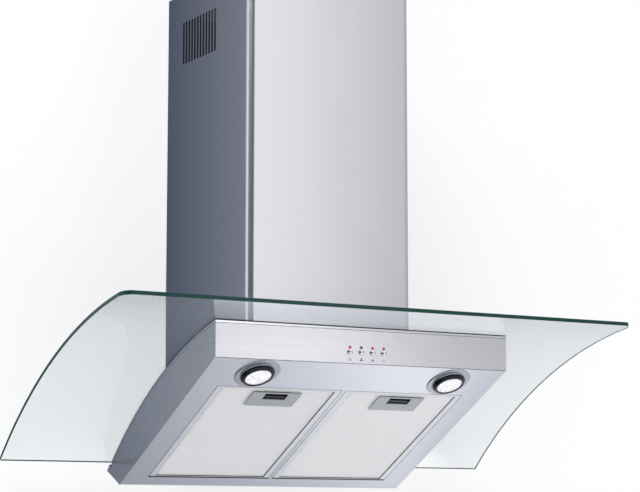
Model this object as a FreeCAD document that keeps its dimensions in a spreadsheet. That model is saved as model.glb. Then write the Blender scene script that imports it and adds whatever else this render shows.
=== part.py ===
import FreeCAD, Part
import math
import os
import re
import Sketcher
from FreeCAD import Placement, Rotation, Vector

# A wall-mounted kitchen hood with a curved glass canopy over an inclined
# stainless pan.  X runs to the right as the cook sees it, Y runs towards the
# wall, Z runs up.  The wall is the plane Y = 0 and the origin is the middle
# of the wall bracket's bolt holes.  All lengths are millimetres.
#
# Three of the pieces' frames recur below:
#   - the "arc": the axis, parallel to X, that the glass is bent around;
#   - the "slope": the inclined underside, whose own y runs from the bottom of
#     the fascia down to the rear and whose own z points up into the pan;
#   - the "fan": the axis, parallel to X, that the impeller turns on.

doc = FreeCAD.newDocument("RangeHood")
sheet = doc.addObject("Spreadsheet::Sheet", "Sizes")

BUTTONS = ("button_fan_slow", "button_fan_fast", "button_light", "button_stop")

# How far a cutting tool passes the faces that it cuts.
OVERCUT = 2

SIZES = (
    # canopy glass
    ("glass_width", 900, "glass from its left edge to its right edge"),
    ("glass_radius", 822, "outer face of the bent glass"),
    ("glass_thick", 6, "glass"),
    ("glass_front_y", -485, "front edge of the glass, on its lower face"),
    ("glass_front_z", -120.6, "front edge of the glass, on its lower face"),
    ("glass_back_y", -33, "back edge of the glass, on its lower face"),
    ("glass_back_z", -338.3, "back edge of the glass, on its lower face"),
    ("glass_corner", 18, "rounding of the glass's front corners"),
    # pan under the glass
    ("pan_width", 522, "stainless pan, over its side panels"),
    ("sheet_thick", 1.2, "stainless sheet of the pan"),
    ("seal_thick", 1.2, "soft strip under the glass"),
    ("pan_inset", 4, "back of the rim, ahead of the glass's back edge"),
    ("fold_gap", 0.2, "gap between sheets that meet at a fold"),
    ("deck_gap", 0.9, "gap between the deck and the lip"),
    ("deck_margin", 2, "air opening in the deck, beyond the one in the glass"),
    ("lip_root", 12, "root of the side panel's lip, ahead of and below its top"),
    ("seal_fit", 0.1, "film of adhesive between the strip and the glass"),
    ("rim_thick", 3.5, "bright rim between the pan and the strip"),
    ("rim_width", 14, "rim, measured across"),
    ("rim_groove", 0.8, "shadow gap under the rim"),
    ("fascia_y", -398, "front face of the fascia"),
    ("fascia_bottom", -194, "lower edge of the fascia"),
    ("underside_angle", 28.6, "slope of the underside, degrees"),
    ("underside_length", 377, "underside, from the fascia to the low back edge"),
    ("rear_corner_y", -18, "rearmost corner of the pan"),
    ("rear_corner_z", -351, "rearmost corner of the pan"),
    ("lip_behind", 6, "top of the lip, behind the glass's back edge"),
    ("lip_drop", 2.7, "top of the lip, below the glass's back edge"),
    # grease filters, measured along the slope
    ("filter_front", 77, "front edge of the filter openings"),
    ("filter_back", 351, "back edge of the filter openings"),
    ("filter_side", 222, "outer edge of the filter openings from the middle"),
    ("middle_bar", 6, "bar between the two filter openings"),
    ("filter_play", 1, "gap round each filter"),
    ("filter_thick", 9, "filter cassette"),
    ("filter_rim", 10, "rim at the sides of the filter cassette"),
    ("filter_end", 4, "rim at the front and back of the filter cassette"),
    ("mesh_thick", 0.8, "pierced face of the filter"),
    ("mesh_pitch_x", 16, "pierced face, across"),
    ("mesh_pitch_y", 16, "pierced face, along the slope"),
    ("mesh_hole", 6.5, "half diagonal of a diamond hole"),
    ("pack_low", 3.9, "lower face of the knitted layers"),
    ("pack_thick", 3, "knitted layers"),
    ("tab_width", 22, "rear hook of a filter"),
    ("tab_reach", 7, "rear hook, beyond the filter's edge"),
    ("tab_inset", 34, "rear hook, from the filter's side"),
    ("tab_gap", 0.3, "rear hook above the underside"),
    ("tab_thick", 1.2, "rear hook"),
    # finger plate and latch of each filter
    ("plate_width", 84, "finger plate"),
    ("plate_front", 89, "front edge of the finger plate on the slope"),
    ("plate_back", 127, "back edge of the finger plate on the slope"),
    ("plate_thick", 1.5, "finger plate"),
    ("window_width", 40, "opening in the finger plate"),
    ("window_front", 92, "front edge of the opening"),
    ("window_back", 108, "back edge of the opening"),
    ("cup_wall", 1.2, "wall of the finger cup"),
    ("cup_height", 7.6, "finger cup above the plate"),
    ("latch_travel", 7, "latch pull"),
    ("latch_thick", 1.2, "latch strip"),
    ("latch_lift", 2.4, "latch tongue above the filter's face"),
    ("latch_width", 12, "latch tongue"),
    ("latch_reach", 4.5, "latch tongue over the front ledge"),
    ("latch_play", 0.4, "running gap of the latch"),
    ("pull_hidden", 2, "latch pull plate, behind the opening"),
    # lamps
    ("lamp_x", 172.5, "lamp centre from the middle"),
    ("lamp_down", 39.5, "lamp centre on the slope"),
    ("lamp_hole", 31.5, "radius of the lamp's hole in the underside"),
    ("trim_radius", 36, "lamp trim ring, outer radius"),
    ("trim_drop", 1.8, "lamp trim ring, below the underside"),
    ("trim_edge", 0.8, "upright edge of the trim ring"),
    ("trim_bevel", 1.4, "outer bevel of the trim ring"),
    ("bead_width", 1.4, "bead round the inside of the trim ring"),
    ("bead_drop", 2.6, "bead, below the underside"),
    ("lamp_fit", 0.1, "gap round a lamp in its hole and in its holder"),
    ("barrel_radius", 26.6, "lamp barrel that stands out of the trim ring"),
    ("barrel_drop", 8, "end of the barrel, below the underside"),
    ("barrel_bevel", 3, "bevel at the end of the barrel"),
    ("lens_radius", 22, "lamp lens"),
    ("lens_thick", 2.5, "lamp lens"),
    ("lens_fit", 0.3, "gap round the lens"),
    ("lens_ledge", 1.5, "ledge under the lens"),
    ("shell_thick", 1.2, "wall of the lamp reflector"),
    ("reflector_back", 11, "flat back of the reflector, radius"),
    ("lamp_top", 31.5, "top of the lamp reflector"),
    ("bulb_radius", 3.6, "lamp capsule"),
    ("bulb_tip", 1.6, "bevelled tip of the capsule"),
    ("bulb_gap", 13, "capsule above the lens"),
    ("bulb_fit", 0.4, "gap round the capsule in the reflector"),
    ("socket_floor", 4, "lamp holder above the capsule's end"),
    ("holder_radius", 9, "lamp holder"),
    ("holder_height", 12, "lamp holder"),
    # push buttons and lights on the fascia
    ("button_pitch", 20.2, "push buttons"),
    ("button_up", 17, "button centre above the fascia's lower edge"),
    ("button_radius", 4.4, "button cap"),
    ("button_proud", 3, "button cap in front of the fascia"),
    ("button_dome", 9, "radius of the button's dome"),
    ("button_travel", 2, "button press"),
    ("button_play", 0.1, "running gap round a button"),
    ("button_flange", 5.6, "ears that keep the button in, from its middle"),
    ("ear_half", 3, "button's ears, half their height"),
    ("button_stem", 2.4, "button stem radius"),
    ("button_tip", 1.2, "button tip radius"),
    ("ear_gap", 0.2, "button's ears behind the fascia"),
    ("ear_thick", 1.2, "button's ears"),
    ("button_rest", 0.4, "what a pressed button stays clear of its stops"),
    ("recess_play", 0.2, "gap round a button and its ears in the housing"),
    ("light_up", 24.6, "pilot light above the fascia's lower edge"),
    ("light_radius", 2.4, "pilot light"),
    ("light_proud", 0.4, "pilot light in front of the fascia"),
    ("housing_depth", 9, "button housing"),
    ("housing_margin", 14, "button housing beyond the outer buttons"),
    ("housing_low", 9, "button housing below the buttons"),
    ("housing_high", 6, "button housing above the pilot lights"),
    ("light_floor", 2, "wall behind the pilot lights"),
    ("switch_depth", 7, "micro switch"),
    ("switch_floor", 0.8, "wall behind the switch's bore"),
    ("switch_half", 4.5, "micro switch, half its side"),
    ("board_thick", 1.6, "control board"),
    ("board_margin", 8, "control board beyond the housing"),
    # chimney
    ("chimney_width", 300, "chimney cover"),
    ("chimney_depth", 290, "chimney cover, from the wall"),
    ("chimney_top", 448, "top of the chimney cover"),
    ("chimney_sheet", 1, "sheet of the chimney"),
    ("chimney_corner", 11, "outer bend of the chimney's front corners"),
    ("chimney_foot", 0.4, "gap between the cover and the glass"),
    ("chimney_back_foot", 14, "foot of the chimney behind the glass, above the lip"),
    ("slide_gap", 0.4, "gap between the cover and the extension"),
    ("extension_travel", 300, "extension pulled up"),
    ("extension_overlap", 100, "extension that stays in the cover when it is pulled up"),
    ("vent_count", 12, "vent slots on each side"),
    ("vent_pitch", 10.4, "vent slots"),
    ("vent_width", 5, "vent slot"),
    ("vent_last_y", -172.5, "middle of the front slot"),
    ("vent_bottom", 327, "lower end of the slots"),
    ("vent_top", 397.3, "upper end of the slots"),
    ("vent_margin", 1, "slots of the extension, longer at each end"),
    # blower
    ("box_half", 120, "blower box, from the middle to its side"),
    ("box_front_y", -262, "front of the blower box"),
    ("box_back_y", -36, "back of the blower box"),
    ("box_top", 56, "top of the blower box"),
    ("box_sheet", 1.2, "sheet of the blower box"),
    ("flange_half", 136, "clamping flange, from the middle to its side"),
    ("flange_front_y", -276, "front of the clamping flange"),
    ("flange_back_y", -34, "back of the clamping flange"),
    ("flange_thick", 1.5, "clamping flange"),
    ("flange_seal", 1, "seal between the flange and the glass"),
    ("port_half", 108, "air opening in the canopy, half its width"),
    ("port_front_y", -250, "front of the air opening"),
    ("port_back_y", -72, "back of the air opening"),
    ("screw_x", 128, "canopy screws from the middle"),
    ("screw_front_y", -242, "front pair of canopy screws"),
    ("screw_step", 80, "canopy screws, from pair to pair"),
    ("screw_radius", 2.5, "canopy screw shank"),
    ("screw_head", 4.5, "canopy screw head"),
    ("screw_head_height", 2.6, "canopy screw head"),
    ("screw_end", 4, "canopy screw below the deck"),
    ("screw_play", 0.3, "gap round a canopy screw"),
    ("fan_y", -172, "impeller axis"),
    ("fan_z", -75, "impeller axis"),
    ("fan_radius", 66, "impeller"),
    ("fan_half", 46, "impeller, half its width"),
    ("blade_count", 28, "impeller blades"),
    ("blade_depth", 12, "impeller blade, along the radius"),
    ("blade_thick", 1.2, "impeller blade"),
    ("blade_lean", 3, "impeller blade, forward lean of its tip"),
    ("blade_inset", 0.5, "blade edges, inside the edges of the rings"),
    ("disc_thick", 2.4, "impeller disc"),
    ("hub_radius", 13, "impeller hub"),
    ("hub_length", 16, "impeller hub"),
    ("shaft_radius", 4, "motor shaft"),
    ("shaft_depth", 45, "bore for the shaft in the motor"),
    ("shaft_floor", 1, "gap at the end of that bore"),
    ("shaft_stub", 4, "motor shaft beyond the hub"),
    ("shaft_play", 0.05, "gap round the motor shaft"),
    ("volute_radius", 74.5, "volute where it starts at the tongue"),
    ("volute_step", 7.5, "growth of the volute in each quarter turn"),
    ("volute_half", 50, "inside of the volute, half its width"),
    ("volute_wall", 2, "wall of the volute"),
    ("inlet_radius", 58, "air inlet in each side of the volute"),
    ("neck_width", 92, "outlet neck of the volute, front to back"),
    ("motor_radius", 40, "motor"),
    ("motor_length", 90, "motor"),
    ("motor_gap", 5, "gap between the motor and the impeller disc"),
    ("spider_thick", 2, "motor bracket"),
    ("spider_ring", 6, "ring of the motor bracket"),
    ("spider_reach", 71, "arms of the motor bracket"),
    ("spider_arm", 12, "arm of the motor bracket"),
    # outlet collar and flaps
    ("collar_radius", 75, "exhaust collar, outside"),
    ("collar_wall", 1.6, "exhaust collar"),
    ("collar_height", 62, "exhaust collar"),
    ("collar_flange", 84, "foot flange of the exhaust collar, radius"),
    ("collar_foot", 2, "foot flange of the exhaust collar"),
    ("flap_up", 14, "flap pin above the blower box"),
    ("flap_thick", 1.6, "flap"),
    ("flap_play", 1.2, "gap round the flaps"),
    ("pin_radius", 1.5, "flap pin"),
    ("pin_play", 0.1, "gap round the flap pin"),
    ("knuckle_wall", 1.6, "wall of a flap's knuckle"),
    ("knuckle_width", 16, "flap knuckle"),
    ("knuckle_near", 12, "inner knuckle of a flap, from the middle"),
    ("knuckle_far", 44, "outer knuckle of a flap, from the middle"),
    ("flap_slit", 0.4, "gap between a flap and the other one's knuckles"),
    # on and in the blower box
    ("capacitor_radius", 14, "run capacitor"),
    ("capacitor_low", -30, "lower end of the run capacitor"),
    ("capacitor_length", 54, "run capacitor"),
    ("fitting_inset", 4, "terminal box and transformer, inside the blower box's outline"),
    ("terminal_length", 58, "terminal box"),
    ("terminal_depth", 40, "terminal box"),
    ("terminal_height", 30, "terminal box"),
    ("transformer_length", 62, "lamp transformer"),
    ("transformer_depth", 36, "lamp transformer"),
    ("transformer_height", 27, "lamp transformer"),
    ("gland_x", 30, "mains gland from the middle"),
    ("gland_in", 22, "mains gland from the front of the blower box"),
    ("gland_radius", 9, "mains gland"),
    ("gland_height", 16, "mains gland"),
    ("gland_nut", 12, "nut of the mains gland, radius"),
    ("gland_nut_height", 5, "nut of the mains gland"),
    ("gland_bore", 4, "bore of the mains gland, radius"),
    # wall fixing
    ("bracket_half", 104, "wall bracket, half its width"),
    ("bracket_height", 60, "wall bracket"),
    ("bracket_sheet", 2.5, "wall bracket"),
    ("bolt_x", 160, "wall bolt holes, across"),
    ("bolt_z", 30, "wall bolt holes, up and down"),
    ("bolt_hole", 4.25, "wall bolt hole, radius"),
    ("lip_width", 21, "lip of the wall bracket"),
    ("lip_bolt_head", 3, "head of a lip bolt"),
    ("lip_bolt_end", 3, "lip bolt behind the lip"),
    ("strap_down", 4, "top bracket below the chimney's top"),
    ("strap_height", 22, "bracket at the top of the chimney"),
    ("strap_ear", 26, "ears of the top bracket"),
    ("strap_hole", 3.25, "wall screw hole in the top bracket, radius"),
    ("strap_x", 200, "wall screw holes in the top bracket"),
)

WORKED_OUT = (
    ("glass_inner", "glass_radius - glass_thick"),
    ("glass_run", "glass_back_y - glass_front_y"),
    ("glass_fall", "glass_front_z - glass_back_z"),
    ("glass_chord", "sqrt(glass_run ^ 2 + glass_fall ^ 2)"),
    ("chord_to_axis", "sqrt(glass_inner ^ 2 - glass_chord ^ 2 / 4)"),
    ("arc_y", "(glass_front_y + glass_back_y) / 2 - chord_to_axis * glass_fall / glass_chord"),
    ("arc_z", "(glass_front_z + glass_back_z) / 2 - chord_to_axis * glass_run / glass_chord"),
    ("lip_y", "glass_back_y + lip_behind"),
    ("lip_z", "glass_back_z - lip_drop"),
    ("seal_top", "glass_inner - seal_fit"),
    ("rim_outer", "seal_top - seal_thick"),
    ("rim_inner", "rim_outer - rim_thick"),
    ("deck_inner", "rim_inner - sheet_thick"),
    ("pan_top", "rim_inner - rim_groove"),
    ("pan_half", "pan_width / 2"),
    ("pan_inside", "pan_half - sheet_thick"),
    ("fascia_back", "fascia_y + sheet_thick"),
    ("fascia_top", "arc_z + sqrt(pan_top ^ 2 - (fascia_y - arc_y) ^ 2)"),
    ("low_y", "fascia_y + underside_length * cos(underside_angle)"),
    ("low_z", "fascia_bottom - underside_length * sin(underside_angle)"),
    ("fold_z", "fascia_bottom - sheet_thick * tan(underside_angle)"),
    ("filter_inner", "middle_bar / 2 + filter_play"),
    ("filter_outer", "filter_side - filter_play"),
    ("filter_middle", "(filter_inner + filter_outer) / 2"),
    ("cassette_front", "filter_front + filter_play"),
    ("cassette_back", "filter_back - filter_play"),
    ("cup_front", "window_front - latch_play"),
    ("pull_back", "window_back + pull_hidden"),
    ("cup_back", "pull_back + latch_travel + 2 * latch_play"),
    ("seal_outer", "glass_radius + flange_seal"),
    ("flange_outer", "seal_outer + flange_thick"),
    ("chimney_half", "chimney_width / 2"),
    ("extension_length", "extension_travel + extension_overlap"),
    ("extension_half", "chimney_half - chimney_sheet - slide_gap"),
    ("extension_depth", "chimney_depth - chimney_sheet - slide_gap"),
    ("neck_back_y", "fan_y + volute_radius + 3 * volute_step"),
    ("neck_y", "neck_back_y - neck_width / 2"),
    ("volute_side", "volute_half + volute_wall"),
    ("motor_end", "disc_thick / 2 + motor_gap"),
    ("flap_z", "box_top + flap_up"),
    ("collar_inner", "collar_radius - collar_wall"),
    ("button_z", "fascia_bottom + button_up"),
    ("light_z", "fascia_bottom + light_up"),
    ("housing_back", "fascia_back + housing_depth"),
    ("switch_back", "housing_back + switch_depth"),
    ("button_count", f"{len(BUTTONS)}"),
    ("button_span", "(button_count - 1) * button_pitch"),
    ("ear_back", "fascia_back + ear_gap + ear_thick"),
    ("pan_back_y", "glass_back_y - pan_inset"),
    ("underside_start", "sheet_thick / cos(underside_angle) + fold_gap"),
    ("rear_slope", "atan((rear_corner_z - low_z) / (rear_corner_y - low_y)) / 1 deg"),
    ("lip_slope", "atan((lip_z - rear_corner_z) / (rear_corner_y - lip_y)) / 1 deg"),
    ("fold_reach", "sheet_thick / sin((rear_slope + lip_slope) / 2)"),
    ("lens_seat", "lens_radius + lens_fit"),
    ("trim_hole", "barrel_radius + lamp_fit"),
    ("lens_up", "shell_thick - barrel_drop"),
    ("bulb_low", "lens_up + lens_thick + bulb_gap"),
    ("bulb_top", "lamp_top + holder_height - socket_floor"),
    ("lip_bolt_x", "bracket_half - lip_width / 2"),
    ("box_inside_back_y", "box_back_y - box_sheet"),
    ("strap_top", "chimney_top - strap_down"),
)


def fill_sheet():
    """Write each size, and each size worked out from them, with its alias."""
    row = 0
    for alias, value, meaning in SIZES:
        row += 1
        sheet.set(f"A{row}", meaning)
        sheet.set(f"B{row}", str(value))
        sheet.setAlias(f"B{row}", alias)
    for alias, formula in WORKED_OUT:
        row += 1
        sheet.set(f"A{row}", "worked out")
        sheet.set(f"B{row}", f"={formula}")
        sheet.setAlias(f"B{row}", alias)
    doc.recompute()


fill_sheet()
ALIASES = {entry[0] for entry in SIZES + WORKED_OUT}
NODES = []


def number(alias):
    return float(sheet.get(alias))


def bind(piece, attribute, formula):
    """Tie one property to a formula written with the sheet's own words."""

    def qualified(word):
        return "Sizes." + word[0] if word[0] in ALIASES else word[0]

    text = re.sub(r"[a-z][a-z_]*", qualified, formula)
    piece.setExpression(attribute, text)


def node(label, piece):
    """Name a finished sub-part; its label is also its file's name."""
    piece.Label = label
    NODES.append(piece)
    return piece


# Solids with straight sides and round solids, from the formulas of their limits.

def box(name, x, y, z):
    piece = doc.addObject("Part::Box", name)
    for side, letter, (low, high) in (("Length", "x", x), ("Width", "y", y), ("Height", "z", z)):
        bind(piece, side, f"({high}) - ({low})")
        bind(piece, f"Placement.Base.{letter}", low)
    return piece


TURN_TO = {
    "x": Rotation(Vector(0, 1, 0), 90),
    "y": Rotation(Vector(1, 0, 0), -90),
    "z": Rotation(),
}


def rod(name, along, radius, low, high, across, up):
    """A cylinder along one axis; across and up are its other two coordinates in X, Y, Z order."""
    piece = doc.addObject("Part::Cylinder", name)
    piece.Placement = Placement(Vector(), TURN_TO[along])
    others = [letter for letter in "xyz" if letter != along]
    bind(piece, "Radius", radius)
    bind(piece, "Height", f"({high}) - ({low})")
    bind(piece, f"Placement.Base.{along}", low)
    bind(piece, f"Placement.Base.{others[0]}", across)
    bind(piece, f"Placement.Base.{others[1]}", up)
    return piece


def fuse(name, pieces):
    piece = doc.addObject("Part::MultiFuse", name)
    piece.Shapes = list(pieces)
    piece.Refine = True
    return piece


def cut(name, base, *tools):
    piece = doc.addObject("Part::Cut", name)
    piece.Base = base
    piece.Tool = tools[0] if len(tools) == 1 else fuse(f"{name}_tools", tools)
    return piece


def common(name, first, second):
    piece = doc.addObject("Part::Common", name)
    piece.Base = first
    piece.Tool = second
    return piece


def frame(name, outside, hole, deep):
    """A box with a box-shaped hole through it; deep is the letter of the hole's direction."""
    limits = dict(hole)
    low, high = outside[deep]
    limits[deep] = (f"({low}) - {OVERCUT}", f"({high}) + {OVERCUT}")
    outer = box(f"{name}_outer", outside["x"], outside["y"], outside["z"])
    inner = box(f"{name}_hole", limits["x"], limits["y"], limits["z"])
    return cut(name, outer, inner)


# Sketches and features of the pieces that are drawn and padded.

def new_body(name):
    return doc.addObject("PartDesign::Body", name)


def sketch_on(body, name, role, level="0"):
    """A sketch parallel to one of the body's origin planes, at a distance along its normal."""
    sketch = body.newObject("Sketcher::SketchObject", name)
    plane = next(item for item in body.Origin.OriginFeatures if item.Role == role)
    sketch.AttachmentSupport = [(plane, "")]
    sketch.MapMode = "FlatFace"
    bind(sketch, "AttachmentOffset.Base.z", level)
    return sketch


def place_point(sketch, geometry, vertex, start, across, up):
    for kind, value, formula in (("DistanceX", start.x, across), ("DistanceY", start.y, up)):
        index = sketch.addConstraint(Sketcher.Constraint(kind, -1, 1, geometry, vertex, value))
        bind(sketch, f"Constraints[{index}]", formula)


def outline(sketch, points):
    """A closed run of straight lines whose corners are tied to formulas."""
    first = sketch.GeometryCount
    count = len(points)
    turn = 2 * math.pi / count
    start = [Vector(math.cos(turn * k), math.sin(turn * k), 0) for k in range(count)]
    for k in range(count):
        sketch.addGeometry(Part.LineSegment(start[k], start[(k + 1) % count]), False)
    for k in range(count):
        following = first + (k + 1) % count
        sketch.addConstraint(Sketcher.Constraint("Coincident", first + k, 2, following, 1))
    for k, (across, up) in enumerate(points):
        place_point(sketch, first + k, 1, start[k], across, up)


def rectangle(sketch, left, right, low, high):
    outline(sketch, [(left, low), (right, low), (right, high), (left, high)])


def circle(sketch, across, up, radius):
    index = sketch.addGeometry(Part.Circle(Vector(), Vector(0, 0, 1), 1), False)
    place_point(sketch, index, 3, Vector(), across, up)
    size = sketch.addConstraint(Sketcher.Constraint("Radius", index, 1))
    bind(sketch, f"Constraints[{size}]", radius)


def pad(body, sketch, length, middle=False):
    feature = body.newObject("PartDesign::Pad", f"{sketch.Name}_pad")
    feature.Profile = sketch
    feature.Midplane = middle
    bind(feature, "Length", length)
    doc.recompute()
    return feature


def expect_less(body, before, feature):
    doc.recompute()
    if not body.Shape.Volume < before - 0.01:
        raise ValueError(f"{feature.Name} removed nothing")


def pocket(body, sketch):
    """Cut the sketch's outline right through the body, both ways."""
    before = body.Shape.Volume
    feature = body.newObject("PartDesign::Pocket", f"{sketch.Name}_pocket")
    feature.Profile = sketch
    feature.Type = "ThroughAll"
    feature.Midplane = True
    expect_less(body, before, feature)
    return feature


def row_of(body, feature, sketch, direction, count, length):
    """Repeat a feature along one axis of its sketch."""
    pattern = body.newObject("PartDesign::LinearPattern", f"{feature.Name}_row")
    pattern.Originals = [feature]
    pattern.Direction = (sketch, [direction])
    bind(pattern, "Length", length)
    bind(pattern, "Occurrences", count)
    body.Tip = pattern
    doc.recompute()
    return pattern


def ring_of(body, feature, sketch, count):
    """Repeat a feature in a full turn about its sketch's normal."""
    pattern = body.newObject("PartDesign::PolarPattern", f"{feature.Name}_ring")
    pattern.Originals = [feature]
    pattern.Axis = (sketch, ["N_Axis"])
    pattern.Angle = 360
    bind(pattern, "Occurrences", count)
    body.Tip = pattern
    doc.recompute()
    return pattern


def turned(name, points):
    """A body turned about its own Z axis from an outline of (radius, height) points."""
    body = new_body(name)
    sketch = sketch_on(body, f"{name}_profile", "XZ_Plane")
    outline(sketch, points)
    feature = body.newObject("PartDesign::Revolution", f"{name}_turn")
    feature.Profile = sketch
    feature.ReferenceAxis = (sketch, ["V_Axis"])
    feature.Angle = 360
    doc.recompute()
    return body


def round_edges(body, radius, wanted):
    """Fillet the edges of the body's tip for which wanted(edge) holds."""
    tip = body.Tip
    names = [f"Edge{k}" for k, edge in enumerate(tip.Shape.Edges, 1) if wanted(edge)]
    feature = body.newObject("PartDesign::Fillet", f"{body.Name}_bend")
    feature.Base = (tip, names)
    bind(feature, "Radius", radius)
    doc.recompute()
    return feature


# Places that many pieces share.

def lay_on_slope(piece, across="0", along="0", above="0"):
    """Set a piece that was built flat onto the inclined underside."""
    piece.Placement = Placement(Vector(), Rotation(Vector(-1, 0, 0), number("underside_angle")))
    bind(piece, "Placement.Rotation.Angle", "underside_angle")
    bind(piece, "Placement.Base.x", across)
    bind(piece, "Placement.Base.y",
         f"fascia_y + ({along}) * cos(underside_angle) + ({above}) * sin(underside_angle)")
    bind(piece, "Placement.Base.z",
         f"fascia_bottom - ({along}) * sin(underside_angle) + ({above}) * cos(underside_angle)")
    return piece


def arc_solid(name, radius, half):
    """The full cylinder about the arc's axis."""
    return rod(name, "x", radius, f"-({half})", half, "arc_y", "arc_z")


def arc_sheet(name, inner, outer, front_y, back_y, half):
    """Bent sheet between two radii, with square-cut ends that point at the arc's axis."""
    start = Rotation(Vector(1, 1, 1), 120)
    rods = []
    for layer, radius, reach in (("skin", outer, "0"), ("core", inner, "1")):
        piece = doc.addObject("Part::Cylinder", f"{name}_{layer}")
        piece.Placement = Placement(Vector(), start)
        bind(piece, "Radius", radius)
        bind(piece, "Height", f"2 * ({half}) + 2 * {reach}")
        bind(piece, "Placement.Base.x", f"-({half}) - {reach}")
        rods.append(piece)
    turn_back = f"asin((({back_y}) - arc_y) / ({inner})) / 1 deg"
    turn_front = f"asin((({front_y}) - arc_y) / ({inner})) / 1 deg"
    bind(rods[0], "Angle", f"{turn_back} - {turn_front}")
    band = cut(name, *rods)
    band.Placement = Placement(Vector(), Rotation(Vector(1, 0, 0), 45))
    bind(band, "Placement.Rotation.Angle", f"90 - {turn_back}")
    bind(band, "Placement.Base.y", "arc_y")
    bind(band, "Placement.Base.z", "arc_z")
    return band


def port_tool(name, margin="0"):
    """The air opening that goes up through the canopy into the blower box."""
    return box(name,
               (f"-port_half - ({margin})", f"port_half + ({margin})"),
               (f"port_front_y - ({margin})", f"port_back_y + ({margin})"),
               ("arc_z", "box_top"))


def screw_stack(name, radius, low, high):
    """Six rods square to the glass, three each side of the air opening."""
    rods = []
    for side in (-1, 1):
        for step in (0, 1, 2):
            piece = doc.addObject("Part::Cylinder", f"{name}_{step}_{'left' if side < 0 else 'right'}")
            lean = f"asin((screw_front_y + {step} * screw_step - arc_y) / glass_radius) / 1 deg"
            piece.Placement = Placement(Vector(), Rotation(Vector(-1, 0, 0), 30))
            bind(piece, "Radius", radius)
            bind(piece, "Height", f"({high}) - ({low})")
            bind(piece, "Placement.Rotation.Angle", lean)
            bind(piece, "Placement.Base.x", f"{side} * screw_x")
            bind(piece, "Placement.Base.y", f"arc_y + ({low}) * sin({lean})")
            bind(piece, "Placement.Base.z", f"arc_z + ({low}) * cos({lean})")
            rods.append(piece)
    return fuse(name, rods)


# Canopy: glass, strip, rim and the sheet-metal pan.

def make_glass():
    band = arc_sheet("glass_band", "glass_inner", "glass_radius",
                     "glass_front_y", "glass_back_y", "glass_width / 2")
    plan = new_body("glass_plan")
    sketch = sketch_on(plan, "glass_plan_outline", "XY_Plane", "arc_z")
    rectangle(sketch, "-glass_width / 2", "glass_width / 2", "glass_front_y", "0")
    pad(plan, sketch, "2 * glass_radius")
    front = number("glass_front_y")

    def at_front_corner(edge):
        middle = edge.CenterOfMass
        return abs(middle.y - front) < 0.01 and abs(edge.tangentAt(edge.FirstParameter).z) > 0.9

    round_edges(plan, "glass_corner", at_front_corner)
    rounded = common("glass_rounded", band, plan)
    holes = screw_stack("glass_screw_holes", "screw_radius + screw_play",
                        f"glass_inner - {OVERCUT}", f"glass_radius + {OVERCUT}")
    node("glass_canopy", cut("glass_canopy", rounded, port_tool("glass_port"), holes))


def make_rim(label, inner, outer):
    """A strip that runs round the top of the pan, under the glass."""
    band = arc_sheet(f"{label}_band", inner, outer, "fascia_y", "pan_back_y", "pan_half")
    hollow = box(f"{label}_hollow", ("rim_width - pan_half", "pan_half - rim_width"),
                 ("fascia_y + rim_width", "pan_back_y - rim_width"), ("arc_z", "box_top"))
    node(label, cut(label, band, hollow))


def make_deck():
    """Top of the pan, bent to the glass's curve, with the air opening."""
    band = arc_sheet("deck_band", "deck_inner", "rim_inner", "fascia_back + fold_gap",
                     "lip_y - sheet_thick / sin(lip_slope) - deck_gap", "pan_inside")
    holes = screw_stack("deck_screw_holes", "screw_radius",
                        f"deck_inner - {OVERCUT}", f"rim_inner + {OVERCUT}")
    node("top_deck", cut("top_deck", band, port_tool("deck_port", "deck_margin"), holes))


def make_fascia():
    body = new_body("fascia_panel")
    sketch = sketch_on(body, "fascia_outline", "XZ_Plane", "-fascia_back")
    rectangle(sketch, "-pan_half", "pan_half", "fascia_bottom", "fascia_top")
    pad(body, sketch, "sheet_thick")
    for name, height, radius in (
        ("button_holes", "button_z", "button_radius + button_play"),
        ("light_holes", "light_z", "light_radius + button_play"),
    ):
        hole = sketch_on(body, name, "XZ_Plane", "-fascia_y")
        circle(hole, "-button_span / 2", height, radius)
        row_of(body, pocket(body, hole), hole, "H_Axis", "button_count", "button_span")
    node("fascia_panel", body)


def make_side(label, side):
    """Wedge-shaped end of the pan, curved on top."""
    blank = new_body(f"{label}_blank")
    low, high = ("pan_inside", "pan_half") if side > 0 else ("-pan_half", "-pan_inside")
    sketch = sketch_on(blank, f"{label}_outline", "YZ_Plane", low)
    outline(sketch, [
        ("fascia_back", "fold_z"),
        ("low_y", "low_z"),
        ("rear_corner_y", "rear_corner_z"),
        ("lip_y", "lip_z"),
        ("pan_back_y", "lip_z"),
        ("pan_back_y", "box_top"),
        ("fascia_back", "box_top"),
    ])
    pad(blank, sketch, f"{high} - ({low})")
    under_glass = common(f"{label}_under_glass", blank, arc_solid(f"{label}_arc", "pan_top", "glass_width"))
    lip = new_body(f"{label}_lip")
    corner = sketch_on(lip, f"{label}_lip_outline", "YZ_Plane", low)
    outline(corner, [
        ("glass_back_y - lip_root", "lip_z - lip_root"),
        ("low_y", "low_z"),
        ("rear_corner_y", "rear_corner_z"),
        ("lip_y", "lip_z"),
    ])
    pad(lip, corner, f"{high} - ({low})")
    node(label, fuse(label, [under_glass, lip]))


def make_rear():
    """Low back edge of the pan, folded up and forward into the lip behind the glass."""
    body = new_body("rear_panel")
    sketch = sketch_on(body, "rear_outline", "YZ_Plane")
    outline(sketch, [
        ("low_y", "low_z"),
        ("rear_corner_y", "rear_corner_z"),
        ("lip_y", "lip_z"),
        ("lip_y - sheet_thick / sin(lip_slope)", "lip_z"),
        ("rear_corner_y - fold_reach * cos((rear_slope - lip_slope) / 2)",
         "rear_corner_z - fold_reach * sin((rear_slope - lip_slope) / 2)"),
        ("low_y", "low_z + sheet_thick / cos(rear_slope)"),
    ])
    pad(body, sketch, "2 * pan_inside", middle=True)
    node("rear_panel", body)


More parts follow.
